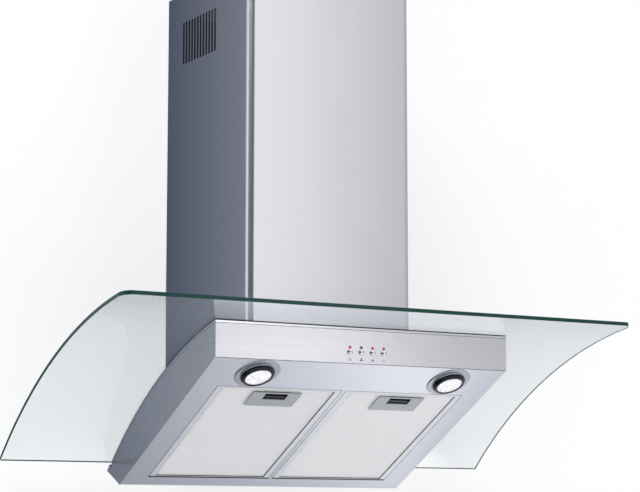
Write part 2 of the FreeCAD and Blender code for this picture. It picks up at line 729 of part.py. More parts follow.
def make_underside():
    """Inclined underside with two filter openings and two lamp holes."""
    body = new_body("underside_frame")
    sketch = sketch_on(body, "underside_outline", "XY_Plane")
    rectangle(sketch, "-pan_inside", "pan_inside", "underside_start", "underside_length - underside_start")
    pad(body, sketch, "sheet_thick")
    holes = sketch_on(body, "filter_openings", "XY_Plane")
    rectangle(holes, "-filter_side", "-middle_bar / 2", "filter_front", "filter_back")
    rectangle(holes, "middle_bar / 2", "filter_side", "filter_front", "filter_back")
    circle(holes, "-lamp_x", "lamp_down", "lamp_hole")
    circle(holes, "lamp_x", "lamp_down", "lamp_hole")
    pocket(body, holes)
    node("underside_frame", lay_on_slope(body))


# Grease filters, each a cassette with a pierced face, knitted layers, a finger
# plate and a sliding latch.  They are drawn for the right side and mirrored.

def sides_of(side, low, high):
    """Limits across the hood for the right (1) or left (-1) copy of a piece."""
    return (low, high) if side > 0 else (f"-({high})", f"-({low})")


def about_middle(side, half):
    return sides_of(side, f"filter_middle - ({half})", f"filter_middle + ({half})")


def make_cassette(label, side):
    """Rim of the filter, with two hooks behind and a slot for the latch in front."""
    rim = frame(f"{label}_rim",
                {"x": sides_of(side, "filter_inner", "filter_outer"),
                 "y": ("cassette_front", "cassette_back"),
                 "z": ("0", "filter_thick")},
                {"x": sides_of(side, "filter_inner + filter_rim", "filter_outer - filter_rim"),
                 "y": ("cassette_front + filter_end", "cassette_back - filter_end")},
                "z")
    slot = box(f"{label}_slot", about_middle(side, "latch_width / 2 + latch_play"),
               (f"cassette_front - {OVERCUT}", f"cassette_front + filter_end + {OVERCUT}"),
               ("latch_lift - latch_play", "latch_lift + latch_thick + latch_play"))
    slotted = cut(f"{label}_slotted", rim, slot)
    hooks = []
    for end, low, high in (
        ("near", "filter_inner + tab_inset", "filter_inner + tab_inset + tab_width"),
        ("far", "filter_outer - tab_inset - tab_width", "filter_outer - tab_inset"),
    ):
        hooks.append(box(f"{label}_hook_{end}", sides_of(side, low, high),
                         ("cassette_back - filter_end / 2", "filter_back + tab_reach"),
                         ("sheet_thick + tab_gap", "sheet_thick + tab_gap + tab_thick")))
    node(label, lay_on_slope(fuse(label, [slotted] + hooks)))


def make_mesh(label, side):
    """Pierced aluminium face with rows of diamond holes, cut out round the finger cup."""
    body = new_body(f"{label}_sheet")
    left, right = sides_of(side, "filter_inner + filter_rim", "filter_outer - filter_rim")
    front, back = "cassette_front + filter_end", "cassette_back - filter_end"
    sketch = sketch_on(body, f"{label}_outline", "XY_Plane")
    rectangle(sketch, left, right, front, back)
    pad(body, sketch, "mesh_thick")
    hole = sketch_on(body, f"{label}_diamond", "XY_Plane")
    across = f"{left} + mesh_pitch_x"
    along = f"{front} + mesh_pitch_y"
    outline(hole, [
        (f"{across} - mesh_hole", along),
        (across, f"{along} - mesh_hole"),
        (f"{across} + mesh_hole", along),
        (across, f"{along} + mesh_hole"),
    ])
    holes = pocket(body, hole)
    grid = body.newObject("PartDesign::MultiTransform", f"{label}_grid")
    grid.Originals = [holes]
    lines = []
    for direction, low, high, pitch in (
        ("H_Axis", left, right, "mesh_pitch_x"),
        ("V_Axis", front, back, "mesh_pitch_y"),
    ):
        line = body.newObject("PartDesign::LinearPattern", f"{label}_{direction[0].lower()}_line")
        line.Direction = (hole, [direction])
        count = f"floor((({high}) - ({low})) / {pitch} - 1)"
        bind(line, "Occurrences", count)
        bind(line, "Length", f"({count} - 1) * {pitch}")
        lines.append(line)
    grid.Transformations = lines
    body.Tip = grid
    doc.recompute()
    cup = box(f"{label}_cup_gap", about_middle(side, "window_width / 2 + cup_wall + 2 * latch_play"),
              ("cup_front - cup_wall - latch_play", "cup_back + cup_wall + latch_play"),
              (f"-{OVERCUT}", "filter_thick"))
    node(label, lay_on_slope(cut(label, body, cup)))


def make_pack(label, side):
    """Knitted aluminium layers inside the cassette, cut out round the cup and the latch."""
    layers = box(f"{label}_layers",
                 sides_of(side, "filter_inner + filter_rim", "filter_outer - filter_rim"),
                 ("cassette_front + filter_end", "cassette_back - filter_end"),
                 ("pack_low + latch_play", "pack_low + latch_play + pack_thick"))
    cup = box(f"{label}_cup_gap", about_middle(side, "window_width / 2 + cup_wall + 2 * latch_play"),
              ("cassette_front", "cup_back + cup_wall + latch_play"), ("0", "filter_thick"))
    node(label, lay_on_slope(cut(label, layers, cup)))


def make_finger_plate(label, side):
    """Plate in front of the mesh, with a cup above its opening for a fingertip."""
    plate = box(f"{label}_plate", about_middle(side, "plate_width / 2"), ("plate_front", "plate_back"),
                ("-plate_thick", "0"))
    cup = box(f"{label}_cup", about_middle(side, "window_width / 2 + cup_wall + latch_play"),
              ("cup_front - cup_wall", "cup_back + cup_wall"), ("0", "cup_height"))
    hollow = box(f"{label}_hollow", about_middle(side, "window_width / 2 + latch_play"),
                 ("cup_front", "cup_back"), ("0", "cup_height - cup_wall"))
    window = box(f"{label}_window", about_middle(side, "window_width / 2"),
                 ("window_front", "window_back"), (f"-plate_thick - {OVERCUT}", "latch_play"))
    slot = box(f"{label}_slot", about_middle(side, "latch_width / 2 + latch_play"),
               (f"cup_front - cup_wall - {OVERCUT}", f"cup_front + {OVERCUT}"),
               ("latch_lift - latch_play", "latch_lift + latch_thick + latch_play"))
    node(label, lay_on_slope(cut(label, fuse(f"{label}_solid", [plate, cup]), hollow, window, slot)))


def make_latch(label, side):
    """Pull plate in the window, a riser, and the tongue that reaches over the front ledge."""
    middle = "(window_front + window_back) / 2"
    pull = box(f"{label}_pull", about_middle(side, "window_width / 2 - latch_play"),
               (middle, "pull_back"), ("latch_play", "latch_play + latch_thick"))
    riser = box(f"{label}_riser", about_middle(side, "latch_width / 2"),
                ("pull_back - latch_thick", "pull_back"), ("latch_play", "latch_lift + latch_thick"))
    tongue = box(f"{label}_tongue", about_middle(side, "latch_width / 2"),
                 ("filter_front - latch_reach", "pull_back"), ("latch_lift", "latch_lift + latch_thick"))
    node(label, lay_on_slope(fuse(label, [pull, riser, tongue])))


# Lamps.

def make_lamp(hand, side):
    """Trim ring, barrel and reflector in one, frosted lens and halogen capsule on one axis."""
    pieces = {
        f"lamp_trim_{hand}": [
            ("trim_hole", "0"),
            ("trim_radius", "0"),
            ("trim_radius", "-trim_edge"),
            ("trim_radius - trim_bevel", "-trim_drop"),
            ("trim_hole + bead_width", "-trim_drop"),
            ("trim_hole + bead_width / 2", "-bead_drop"),
            ("trim_hole", "-bead_drop"),
        ],
        f"lamp_reflector_{hand}": [
            ("lens_radius - lens_ledge", "-barrel_drop"),
            ("barrel_radius - barrel_bevel", "-barrel_drop"),
            ("barrel_radius", "barrel_bevel - barrel_drop"),
            ("barrel_radius", "0"),
            ("lamp_hole - lamp_fit", "0"),
            ("lamp_hole - lamp_fit", "shell_thick"),
            ("lens_seat + shell_thick", "shell_thick"),
            ("reflector_back", "lamp_top"),
            ("bulb_radius + bulb_fit", "lamp_top"),
            ("bulb_radius + bulb_fit", "lamp_top - shell_thick"),
            ("reflector_back - shell_thick", "lamp_top - shell_thick"),
            ("lens_seat", "lens_up + lens_thick + lens_fit"),
            ("lens_seat", "lens_up"),
            ("lens_radius - lens_ledge", "lens_up"),
        ],
        f"lamp_lens_{hand}": [
            ("0", "lens_up"),
            ("lens_radius", "lens_up"),
            ("lens_radius", "lens_up + lens_thick"),
            ("0", "lens_up + lens_thick"),
        ],
        f"lamp_bulb_{hand}": [
            ("0", "bulb_low"),
            ("bulb_radius - bulb_tip", "bulb_low"),
            ("bulb_radius", "bulb_low + bulb_tip"),
            ("bulb_radius", "bulb_top"),
            ("0", "bulb_top"),
        ],
    }
    for label, points in pieces.items():
        node(label, lay_on_slope(turned(label, points), f"{side} * lamp_x", "lamp_down"))


def make_holders():
    """Ceramic lamp holders on top of the reflectors."""
    both = []
    for hand, side in (("left", -1), ("right", 1)):
        across = f"{side} * lamp_x"
        block = rod(f"holder_{hand}_block", "z", "holder_radius", "lamp_top", "lamp_top + holder_height",
                    across, "lamp_down")
        socket = rod(f"holder_{hand}_socket", "z", "bulb_radius + lamp_fit", f"lamp_top - {OVERCUT}",
                     "bulb_top", across, "lamp_down")
        both.append(cut(f"holder_{hand}", block, socket))
    node("lamp_holders", lay_on_slope(fuse("lamp_holders", both)))


# Controls on the fascia.

def button_x(index):
    return f"{index} * button_pitch - button_span / 2"


def make_button(label, index):
    """Domed cap, the ears that keep it in, its stem and the tip that enters the switch."""
    x = button_x(index)
    front = "fascia_y - button_proud"
    cap = rod(f"{label}_cap", "y", "button_radius", front, "ear_back", x, "button_z")
    dome = doc.addObject("Part::Sphere", f"{label}_dome")
    dome.Placement = Placement(Vector(), TURN_TO["y"])
    bind(dome, "Radius", "button_dome")
    bind(dome, "Placement.Base.x", x)
    bind(dome, "Placement.Base.y", f"{front} + button_dome")
    bind(dome, "Placement.Base.z", "button_z")
    ears = box(f"{label}_ears", (f"{x} - button_flange", f"{x} + button_flange"),
               ("fascia_back + ear_gap", "ear_back"), ("button_z - ear_half", "button_z + ear_half"))
    stem = rod(f"{label}_stem", "y", "button_stem", "fascia_back",
               "housing_back - button_travel - button_rest", x, "button_z")
    tip = rod(f"{label}_tip", "y", "button_tip", "fascia_back",
              "switch_back - switch_floor - button_travel - button_rest", x, "button_z")
    node(label, fuse(label, [common(f"{label}_domed", cap, dome), ears, stem, tip]))


def make_housing():
    """Plastic block behind the fascia that guides the buttons and holds the pilot lights."""
    block = box("housing_block",
                ("-button_span / 2 - housing_margin", "button_span / 2 + housing_margin"),
                ("fascia_back", "housing_back"),
                ("button_z - housing_low", "light_z + housing_high"))
    bores = []
    for index in range(len(BUTTONS)):
        x = button_x(index)
        depth = (f"fascia_back - {OVERCUT}", "ear_back + button_travel + button_rest")
        bores.append(rod(f"housing_recess_{index}", "y", "button_radius + recess_play", *depth,
                         x, "button_z"))
        bores.append(box(f"housing_ear_slot_{index}",
                         (f"{x} - button_flange - recess_play", f"{x} + button_flange + recess_play"), depth,
                         ("button_z - ear_half - recess_play", "button_z + ear_half + recess_play")))
        bores.append(rod(f"housing_bore_{index}", "y", "button_stem + button_play", "fascia_back",
                         f"housing_back + {OVERCUT}", x, "button_z"))
        bores.append(rod(f"housing_light_{index}", "y", "light_radius + button_play",
                         f"fascia_back - {OVERCUT}", "housing_back - light_floor", x, "light_z"))
    node("button_housing", cut("button_housing", block, *bores))


def make_switches():
    """Micro switches between the housing and the board, each with a bore for a button's tip."""
    switches = []
    for index in range(len(BUTTONS)):
        x = button_x(index)
        case = box(f"switch_case_{index}", (f"{x} - switch_half", f"{x} + switch_half"),
                   ("housing_back", "switch_back"), ("button_z - switch_half", "button_z + switch_half"))
        bore = rod(f"switch_bore_{index}", "y", "button_tip + button_play", f"housing_back - {OVERCUT}",
                   "switch_back - switch_floor", x, "button_z")
        switches.append(cut(f"switch_{index}", case, bore))
    node("micro_switches", fuse("micro_switches", switches))


def make_pilot_lights():
    lights = []
    for index in range(len(BUTTONS)):
        lights.append(rod(f"light_{index}", "y", "light_radius", "fascia_y - light_proud",
                          "housing_back - light_floor", button_x(index), "light_z"))
    node("pilot_lights", fuse("pilot_lights", lights))


def make_board():
    half = "button_span / 2 + housing_margin + board_margin"
    node("control_board", box("control_board", (f"-({half})", half),
                              ("switch_back", "switch_back + board_thick"),
                              ("button_z - housing_low", "light_z + housing_high")))


# Chimney.

def u_channel(name, half, depth, low, high):
    """Sheet bent into three sides of a box, open towards the wall, with rounded front corners."""
    wall = "chimney_sheet"
    body = new_body(name)
    sketch = sketch_on(body, f"{name}_outline", "XY_Plane", low)
    outline(sketch, [
        (f"-({half})", "0"),
        (f"-({half})", f"-({depth})"),
        (half, f"-({depth})"),
        (half, "0"),
        (f"{half} - {wall}", "0"),
        (f"{half} - {wall}", f"{wall} - ({depth})"),
        (f"{wall} - ({half})", f"{wall} - ({depth})"),
        (f"{wall} - ({half})", "0"),
    ])
    pad(body, sketch, f"{high} - ({low})")
    return body


def bend_corners(body, outer_radius):
    """Round the two front corners outside and in, so that the sheet keeps its thickness."""
    outer_y = body.Shape.BoundBox.YMin

    def upright(edge, y):
        middle = edge.CenterOfMass
        return abs(middle.y - y) < 0.01 and abs(edge.tangentAt(edge.FirstParameter).z) > 0.9

    round_edges(body, outer_radius, lambda edge: upright(edge, outer_y))
    inner_y = outer_y + number("chimney_sheet")
    round_edges(body, f"{outer_radius} - chimney_sheet", lambda edge: upright(edge, inner_y))


def cut_vents(body, name, drop):
    slot = sketch_on(body, f"{name}_slot", "YZ_Plane")
    rectangle(slot, "vent_last_y - vent_width / 2", "vent_last_y + vent_width / 2",
              f"vent_bottom - {drop}", f"vent_top + {drop}")
    row_of(body, pocket(body, slot), slot, "H_Axis", "vent_count", "(vent_count - 1) * vent_pitch")


def make_cover():
    """Visible chimney; its foot follows the glass."""
    body = u_channel("cover_channel", "chimney_half", "chimney_depth", "lip_z", "chimney_top")
    bend_corners(body, "chimney_corner")
    cut_vents(body, "cover", "0")
    below = arc_solid("cover_foot", "glass_radius + chimney_foot", "chimney_width")
    behind = box("cover_behind", ("-chimney_width", "chimney_width"),
                 ("glass_back_y - chimney_foot", f"{OVERCUT}"),
                 (f"lip_z - {OVERCUT}", "lip_z + chimney_back_foot"))
    node("chimney_cover", cut("chimney_cover", body, below, behind))


def make_extension():
    """Inner chimney that slides up out of the cover; its own vents lie behind the cover's."""
    body = u_channel("extension_channel", "extension_half", "extension_depth",
                     "chimney_top - extension_length", "chimney_top")
    bend_corners(body, "(chimney_corner - chimney_sheet)")
    cut_vents(body, "extension", "vent_margin")
    node("chimney_extension", body)


def make_top_strap():
    """Wall bracket inside the top of the extension, with an ear at each side."""
    half = "extension_half - chimney_sheet"
    z = ("strap_top - strap_height", "strap_top")
    back = box("strap_back", (f"-({half})", half), ("-bracket_sheet", "0"), z)
    ears = [
        box("strap_ear_left", (f"-({half})", f"bracket_sheet - ({half})"), ("-strap_ear", "0"), z),
        box("strap_ear_right", (f"{half} - bracket_sheet", half), ("-strap_ear", "0"), z),
    ]
    holes = [
        rod(f"strap_hole_{hand}", "y", "strap_hole", f"-bracket_sheet - {OVERCUT}", f"{OVERCUT}",
            f"{side} * strap_x / 2", "strap_top - strap_height / 2")
        for hand, side in (("left", -1), ("right", 1))
    ]
    node("chimney_bracket", cut("chimney_bracket", fuse("strap_solid", [back] + ears), *holes))


# Blower.

def make_blower_box():
    """Steel housing over the air opening; its foot follows the clamping flange."""
    outer = box("blower_outer", ("-box_half", "box_half"), ("box_front_y", "box_back_y"),
                ("lip_z", "box_top"))
    inner = box("blower_inner", ("box_sheet - box_half", "box_half - box_sheet"),
                ("box_front_y + box_sheet", "box_inside_back_y"),
                (f"lip_z - {OVERCUT}", "box_top - box_sheet"))
    below = arc_solid("blower_foot", "flange_outer", "glass_width")
    outlet = box("blower_outlet", ("-volute_side", "volute_side"),
                 ("neck_back_y - neck_width - volute_wall", "neck_back_y + volute_wall"),
                 (f"box_top - box_sheet - {OVERCUT}", f"box_top + {OVERCUT}"))
    bolts = [
        rod(f"blower_bolt_hole_{hand}", "y", "screw_radius + screw_play",
            f"box_inside_back_y - {OVERCUT}", f"box_back_y + {OVERCUT}", f"{side} * lip_bolt_x", "0")
        for hand, side in (("left", -1), ("right", 1))
    ]
    node("blower_box", cut("blower_box", outer, inner, below, outlet, *bolts))


def make_flange(label, inner, outer):
    """Bent frame round the air opening, between the glass and the blower box."""
    band = arc_sheet(f"{label}_band", inner, outer, "flange_front_y", "flange_back_y", "flange_half")
    holes = screw_stack(f"{label}_screw_holes", "screw_radius + screw_play",
                        "glass_inner", f"flange_outer + {OVERCUT}")
    node(label, cut(label, band, port_tool(f"{label}_port"), holes))


def make_screws():
    """Canopy screws: they clamp the flange, the glass and the deck together."""
    shanks = screw_stack("screw_shanks", "screw_radius",
                         "deck_inner - screw_end", "flange_outer + screw_head_height / 2")
    heads = screw_stack("screw_heads", "screw_head", "flange_outer", "flange_outer + screw_head_height")
    node("canopy_screws", fuse("canopy_screws", [shanks, heads]))


def volute_space(name, extra, low, high):
    """The volute as quarter cylinders whose radius grows with each quarter, and the outlet neck."""
    x = (low, high)
    first = f"volute_radius + {extra}"
    second = f"volute_radius + volute_step + {extra}"
    third = f"volute_radius + 2 * volute_step + {extra}"
    quarters = (
        ("top_front", first, "fan_y", "fan_z", ("fan_y - 2 * volute_radius", "fan_y"),
         ("fan_z", "fan_z + 2 * volute_radius")),
        ("low_front", second, "fan_y + volute_step", "fan_z",
         ("fan_y - 2 * volute_radius", "fan_y + volute_step"),
         ("fan_z - 2 * volute_radius", "fan_z")),
        ("low_back", third, "fan_y + volute_step", "fan_z + volute_step",
         ("fan_y + volute_step", "fan_y + 3 * volute_radius"),
         ("fan_z - 2 * volute_radius", "fan_z + volute_step")),
    )
    pieces = [
        common(f"{name}_{where}", rod(f"{name}_{where}_rod", "x", radius, low, high, y, z),
               box(f"{name}_{where}_box", x, span_y, span_z))
        for where, radius, y, z, span_y, span_z in quarters
    ]
    pieces.append(rod(f"{name}_eye", "x", f"volute_radius - volute_wall / 2 + {extra}", low, high,
                      "fan_y", "fan_z"))
    pieces.append(box(f"{name}_neck", x,
                      (f"neck_back_y - neck_width - {extra}", f"neck_back_y + {extra}"),
                      ("fan_z", f"box_top + {extra} - volute_wall")))
    return fuse(name, pieces)


def make_scroll(hand, side):
    """One half of the blower's volute, with the air inlet in its side."""
    wall = "volute_wall"
    if side < 0:
        solid = volute_space("scroll_left_solid", wall, "-volute_side", "0")
        hollow = volute_space("scroll_left_hollow", "0", "-volute_half", f"{OVERCUT}")
        inlet = rod("scroll_left_inlet", "x", "inlet_radius", f"-volute_side - {OVERCUT}", "0",
                    "fan_y", "fan_z")
    else:
        solid = volute_space("scroll_right_solid", wall, "0", "volute_side")
        hollow = volute_space("scroll_right_hollow", "0", f"-{OVERCUT}", "volute_half")
        inlet = rod("scroll_right_inlet", "x", "inlet_radius", "0", f"volute_side + {OVERCUT}",
                    "fan_y", "fan_z")
    mouth = box(f"scroll_{hand}_mouth", ("-volute_half", "volute_half"),
                ("neck_back_y - neck_width", "neck_back_y"),
                (f"box_top - volute_wall - {OVERCUT}", f"box_top + {OVERCUT}"))
    label = f"scroll_{hand}_half"
    node(label, cut(label, solid, hollow, inlet, mouth))


def make_impeller():
    """Double-inlet wheel: a middle disc, a hub, leaning blades and a ring at each end."""
    body = new_body("impeller")
    disc = sketch_on(body, "impeller_disc", "YZ_Plane")
    circle(disc, "0", "0", "fan_radius")
    circle(disc, "0", "0", "shaft_radius")
    pad(body, disc, "disc_thick", middle=True)
    hub = sketch_on(body, "impeller_hub", "YZ_Plane")
    circle(hub, "0", "0", "hub_radius")
    circle(hub, "0", "0", "shaft_radius")
    pad(body, hub, "hub_length")
    for name, level in (
        ("impeller_ring_left", "-fan_half"),
        ("impeller_ring_right", "fan_half - disc_thick"),
    ):
        ring = sketch_on(body, name, "YZ_Plane", level)
        circle(ring, "0", "0", "fan_radius")
        circle(ring, "0", "0", "fan_radius - blade_depth")
        pad(body, ring, "disc_thick")
    blade = sketch_on(body, "impeller_blade", "YZ_Plane")
    inner = "fan_radius - blade_depth + blade_inset"
    outer = "fan_radius - blade_inset"
    outline(blade, [
        (inner, "0"),
        (outer, "blade_lean"),
        (outer, "blade_lean + blade_thick"),
        (inner, "blade_thick"),
    ])
    ring_of(body, pad(body, blade, "2 * fan_half - disc_thick", middle=True), blade, "blade_count")
    body.Placement = Placement(Vector(0, number("fan_y"), number("fan_z")), Rotation())
    bind(body, "Placement.Base.y", "fan_y")
    bind(body, "Placement.Base.z", "fan_z")
    node("impeller", body)


def make_motor():
    """Motor inside the left half of the wheel, its bracket on the volute, and its shaft."""
    case = rod("motor_case", "x", "motor_radius", "-motor_end - motor_length", "-motor_end", "fan_y", "fan_z")
    bore = rod("motor_bore", "x", "shaft_radius + shaft_play", "-motor_end - shaft_depth",
               f"{OVERCUT}", "fan_y", "fan_z")
    node("fan_motor", cut("fan_motor", case, bore))
    node("motor_shaft", rod("motor_shaft", "x", "shaft_radius", "shaft_floor - motor_end - shaft_depth",
                            "hub_length + shaft_stub", "fan_y", "fan_z"))


def make_spider():
    """Motor bracket: a ring round the motor with three arms to the volute's side."""
    body = new_body("spider_plate")
    ring = sketch_on(body, "spider_ring_outline", "YZ_Plane", "-volute_side - spider_thick")
    circle(ring, "0", "0", "motor_radius + spider_ring")
    pad(body, ring, "spider_thick")
    arm = sketch_on(body, "spider_arm_outline", "YZ_Plane", "-volute_side - spider_thick")
    rectangle(arm, "motor_radius", "spider_reach", "-spider_arm / 2", "spider_arm / 2")
    ring_of(body, pad(body, arm, "spider_thick"), arm, "3")
    hole = sketch_on(body, "spider_hole", "YZ_Plane")
    circle(hole, "0", "0", "motor_radius")
    pocket(body, hole)
    body.Placement = Placement(Vector(0, number("fan_y"), number("fan_z")), Rotation())
    bind(body, "Placement.Base.y", "fan_y")
    bind(body, "Placement.Base.z", "fan_z")
    node("motor_bracket", body)


def make_collar():
    """Round exhaust collar on the blower box, with a bored boss each side for the flap pin."""
    tube = rod("collar_tube", "z", "collar_radius", "box_top", "box_top + collar_height", "0", "neck_y")
    foot = rod("collar_foot_disc", "z", "collar_flange", "box_top", "box_top + collar_foot", "0", "neck_y")
    bore = rod("collar_bore", "z", "collar_inner", f"box_top - {OVERCUT}",
               f"box_top + collar_height + {OVERCUT}", "0", "neck_y")
    pin = rod("collar_pin_hole", "x", "pin_radius", f"-collar_radius - {OVERCUT}",
              f"collar_radius + {OVERCUT}", "neck_y", "flap_z")
    node("exhaust_collar", cut("exhaust_collar", fuse("collar_solid", [tube, foot]), bore, pin))
    node("flap_pin", rod("flap_pin", "x", "pin_radius", "-collar_radius", "collar_radius",
                         "neck_y", "flap_z"))


def make_flap(label, side):
    """Half-round flap that falls shut when the blower stops; its two knuckles turn on the pin."""
    name = f"{label}_"
    z = ("flap_z - flap_thick / 2", "flap_z + flap_thick / 2")
    disc = rod(f"{name}disc", "z", "collar_inner - flap_play", *z, "0", "neck_y")
    reach = "pin_radius + pin_play + knuckle_wall"
    span = (f"neck_y + {reach} + flap_slit", "neck_y + collar_radius")
    leaf_y = ("neck_y", f"neck_y + {reach} + 2 * flap_slit")
    if side < 0:
        span = ("neck_y - collar_radius", f"neck_y - ({reach}) - flap_slit")
        leaf_y = (f"neck_y - ({reach}) - 2 * flap_slit", "neck_y")
    half_disc = common(f"{name}half", disc, box(f"{name}side", ("-collar_radius", "collar_radius"), span, z))
    knuckles = []
    for place, centre in (("far", f"{-side} * knuckle_far"), ("near", f"{side} * knuckle_near")):
        ends = (f"{centre} - knuckle_width / 2", f"{centre} + knuckle_width / 2")
        knuckles.append(rod(f"{name}barrel_{place}", "x", reach, *ends, "neck_y", "flap_z"))
        knuckles.append(box(f"{name}leaf_{place}", ends, leaf_y, z))
    bore = rod(f"{name}bore", "x", "pin_radius + pin_play", "-collar_radius", "collar_radius",
               "neck_y", "flap_z")
    node(label, cut(label, fuse(f"{name}solid", [half_disc] + knuckles), bore))


def make_electrics():
    """Run capacitor, terminal box, lamp transformer and the mains gland."""
    node("run_capacitor", rod("run_capacitor", "z", "capacitor_radius",
                              "capacitor_low", "capacitor_low + capacitor_length",
                              "box_half - box_sheet - capacitor_radius",
                              "box_front_y + box_sheet + capacitor_radius"))
    edge = "box_half - fitting_inset"
    front = "box_front_y + fitting_inset"
    node("terminal_box", box("terminal_box", (f"{edge} - terminal_length", edge),
                             (front, f"{front} + terminal_depth"), ("box_top", "box_top + terminal_height")))
    node("lamp_transformer", box("lamp_transformer", (f"-({edge})", f"transformer_length - ({edge})"),
                                 (front, f"{front} + transformer_depth"),
                                 ("box_top", "box_top + transformer_height")))
    gland_y = "box_front_y + gland_in"
    body = rod("gland_body", "z", "gland_radius", "box_top", "box_top + gland_height", "gland_x", gland_y)
    nut = rod("gland_nut_body", "z", "gland_nut", "box_top", "box_top + gland_nut_height", "gland_x", gland_y)
    bore = rod("gland_hole", "z", "gland_bore", f"box_top - {OVERCUT}", f"box_top + gland_height + {OVERCUT}",
               "gland_x", gland_y)
    node("mains_gland", cut("mains_gland", fuse("gland_solid", [body, nut]), bore))


# Wall fixing.

def make_wall_bracket():
    """Channel screwed to the wall; the blower box bolts to the lip at each of its ends."""
    x = ("-bracket_half", "bracket_half")
    half = "bracket_height / 2"
    web = box("bracket_web", x, ("-bracket_sheet", "0"), (f"-({half})", half))
    flanges = [
        box("bracket_upper", x, ("box_back_y", "0"), (f"{half} - bracket_sheet", half)),
        box("bracket_lower", x, ("box_back_y", "0"), (f"-({half})", f"bracket_sheet - ({half})")),
    ]
    cheeks = []
    for hand, side in (("left", -1), ("right", 1)):
        span = sides_of(side, "bracket_half - lip_width", "bracket_half")
        cheeks.append(box(f"bracket_lip_{hand}", span, ("box_back_y", "box_back_y + bracket_sheet"),
                          (f"-({half})", half)))
    holes = []
    for hand, side in (("left", -1), ("right", 1)):
        for row, lift in (("upper", 1), ("lower", -1)):
            holes.append(rod(f"wall_hole_{row}_{hand}", "y", "bolt_hole",
                             f"-bracket_sheet - {OVERCUT}", f"{OVERCUT}",
                             f"{side} * bolt_x / 2", f"{lift} * bolt_z / 2"))
        holes.append(rod(f"lip_hole_{hand}", "y", "screw_radius", f"box_back_y - {OVERCUT}",
                         f"box_back_y + bracket_sheet + {OVERCUT}", f"{side} * lip_bolt_x", "0"))
    node("wall_bracket", cut("wall_bracket", fuse("bracket_solid", [web] + flanges + cheeks), *holes))
    bolts = []
    for hand, side in (("left", -1), ("right", 1)):
        x = f"{side} * lip_bolt_x"
        bolts.append(rod(f"bolt_shank_{hand}", "y", "screw_radius", "box_inside_back_y - lip_bolt_head / 2",
                         "box_back_y + bracket_sheet + lip_bolt_end", x, "0"))
        bolts.append(rod(f"bolt_head_{hand}", "y", "screw_head", "box_inside_back_y - lip_bolt_head",
                         "box_inside_back_y", x, "0"))
    node("bracket_bolts", fuse("bracket_bolts", bolts))


def check_document():
    """Stop if any feature failed or any sub-part isn't a sound solid."""
    for item in doc.Objects:
        if "Invalid" in item.State or "Error" in item.State:
            raise ValueError(f"{item.Name} failed: {item.State}")
    for piece in NODES:
        if piece.Shape.isNull() or not piece.Shape.isValid() or not piece.Shape.Solids:
            raise ValueError(f"{piece.Label} has no valid solid")


def write_parts():
    os.makedirs("parts", exist_ok=True)
    for piece in NODES:
        piece.Shape.exportStep(f"parts/{piece.Label}.step")
        print(f"{piece.Label}: {len(piece.Shape.Solids)} solids, {piece.Shape.Volume / 1000:.1f} cm3")


make_glass()
make_rim("glass_seal", "rim_outer", "seal_top")
make_rim("rim_frame", "rim_inner", "rim_outer")
make_deck()
make_fascia()
make_side("left_side_panel", -1)
make_side("right_side_panel", 1)
make_rear()
make_underside()
for hand, side in (("left", -1), ("right", 1)):
    make_cassette(f"filter_frame_{hand}", side)
    make_mesh(f"filter_mesh_{hand}", side)
    make_pack(f"filter_pack_{hand}", side)
    make_finger_plate(f"finger_plate_{hand}", side)
    make_latch(f"filter_latch_{hand}", side)
    make_lamp(hand, side)
    make_scroll(hand, side)
make_holders()
for index, label in enumerate(BUTTONS):
    make_button(label, index)
make_housing()
make_switches()
make_pilot_lights()
make_board()
make_cover()
make_extension()
make_top_strap()
make_flange("flange_seal_strip", "glass_radius", "seal_outer")
make_flange("clamping_flange", "seal_outer", "flange_outer")
make_screws()
make_blower_box()
make_impeller()
make_motor()
make_spider()
make_collar()
make_flap("flap_front", -1)
make_flap("flap_rear", 1)
make_electrics()
make_wall_bracket()
doc.recompute()
check_document()
write_parts()
print(f"{len(NODES)} nodes")
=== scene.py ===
# %% [markdown]
# # A curved glass range hood
#
# The hood hangs on a wall: a tall stainless chimney, a bent sheet of clear
# glass, and under the glass a sloping stainless pan with two grease filters,
# two lamps and four push buttons.  The solids were drawn elsewhere at their
# real size.  This lesson dresses them: it gives each one a finish, adds the
# fine pieces that solids leave out, and lights and frames the result.

# %% Load the frame
import math

import bmesh
import bpy
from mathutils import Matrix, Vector


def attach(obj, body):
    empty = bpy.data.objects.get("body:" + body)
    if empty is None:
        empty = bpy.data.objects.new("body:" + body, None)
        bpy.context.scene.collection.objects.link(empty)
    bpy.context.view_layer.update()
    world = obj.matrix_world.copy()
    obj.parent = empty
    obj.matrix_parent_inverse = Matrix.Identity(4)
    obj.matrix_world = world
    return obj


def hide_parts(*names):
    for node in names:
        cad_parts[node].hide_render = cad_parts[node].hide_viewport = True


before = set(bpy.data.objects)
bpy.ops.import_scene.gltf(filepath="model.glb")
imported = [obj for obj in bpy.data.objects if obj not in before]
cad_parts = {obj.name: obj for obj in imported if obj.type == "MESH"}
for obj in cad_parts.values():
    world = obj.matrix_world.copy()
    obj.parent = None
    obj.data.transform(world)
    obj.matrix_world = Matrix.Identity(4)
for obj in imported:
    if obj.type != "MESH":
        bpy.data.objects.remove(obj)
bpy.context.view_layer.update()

# %% [markdown]
# ## Sums on a surface
#
# A finish is a sum: a base colour, plus a little of this pattern, times that
# one.  Shader nodes can add and multiply, but wiring each by hand hides the
# sum.  A small class that wraps a socket lets the sums be written as sums.

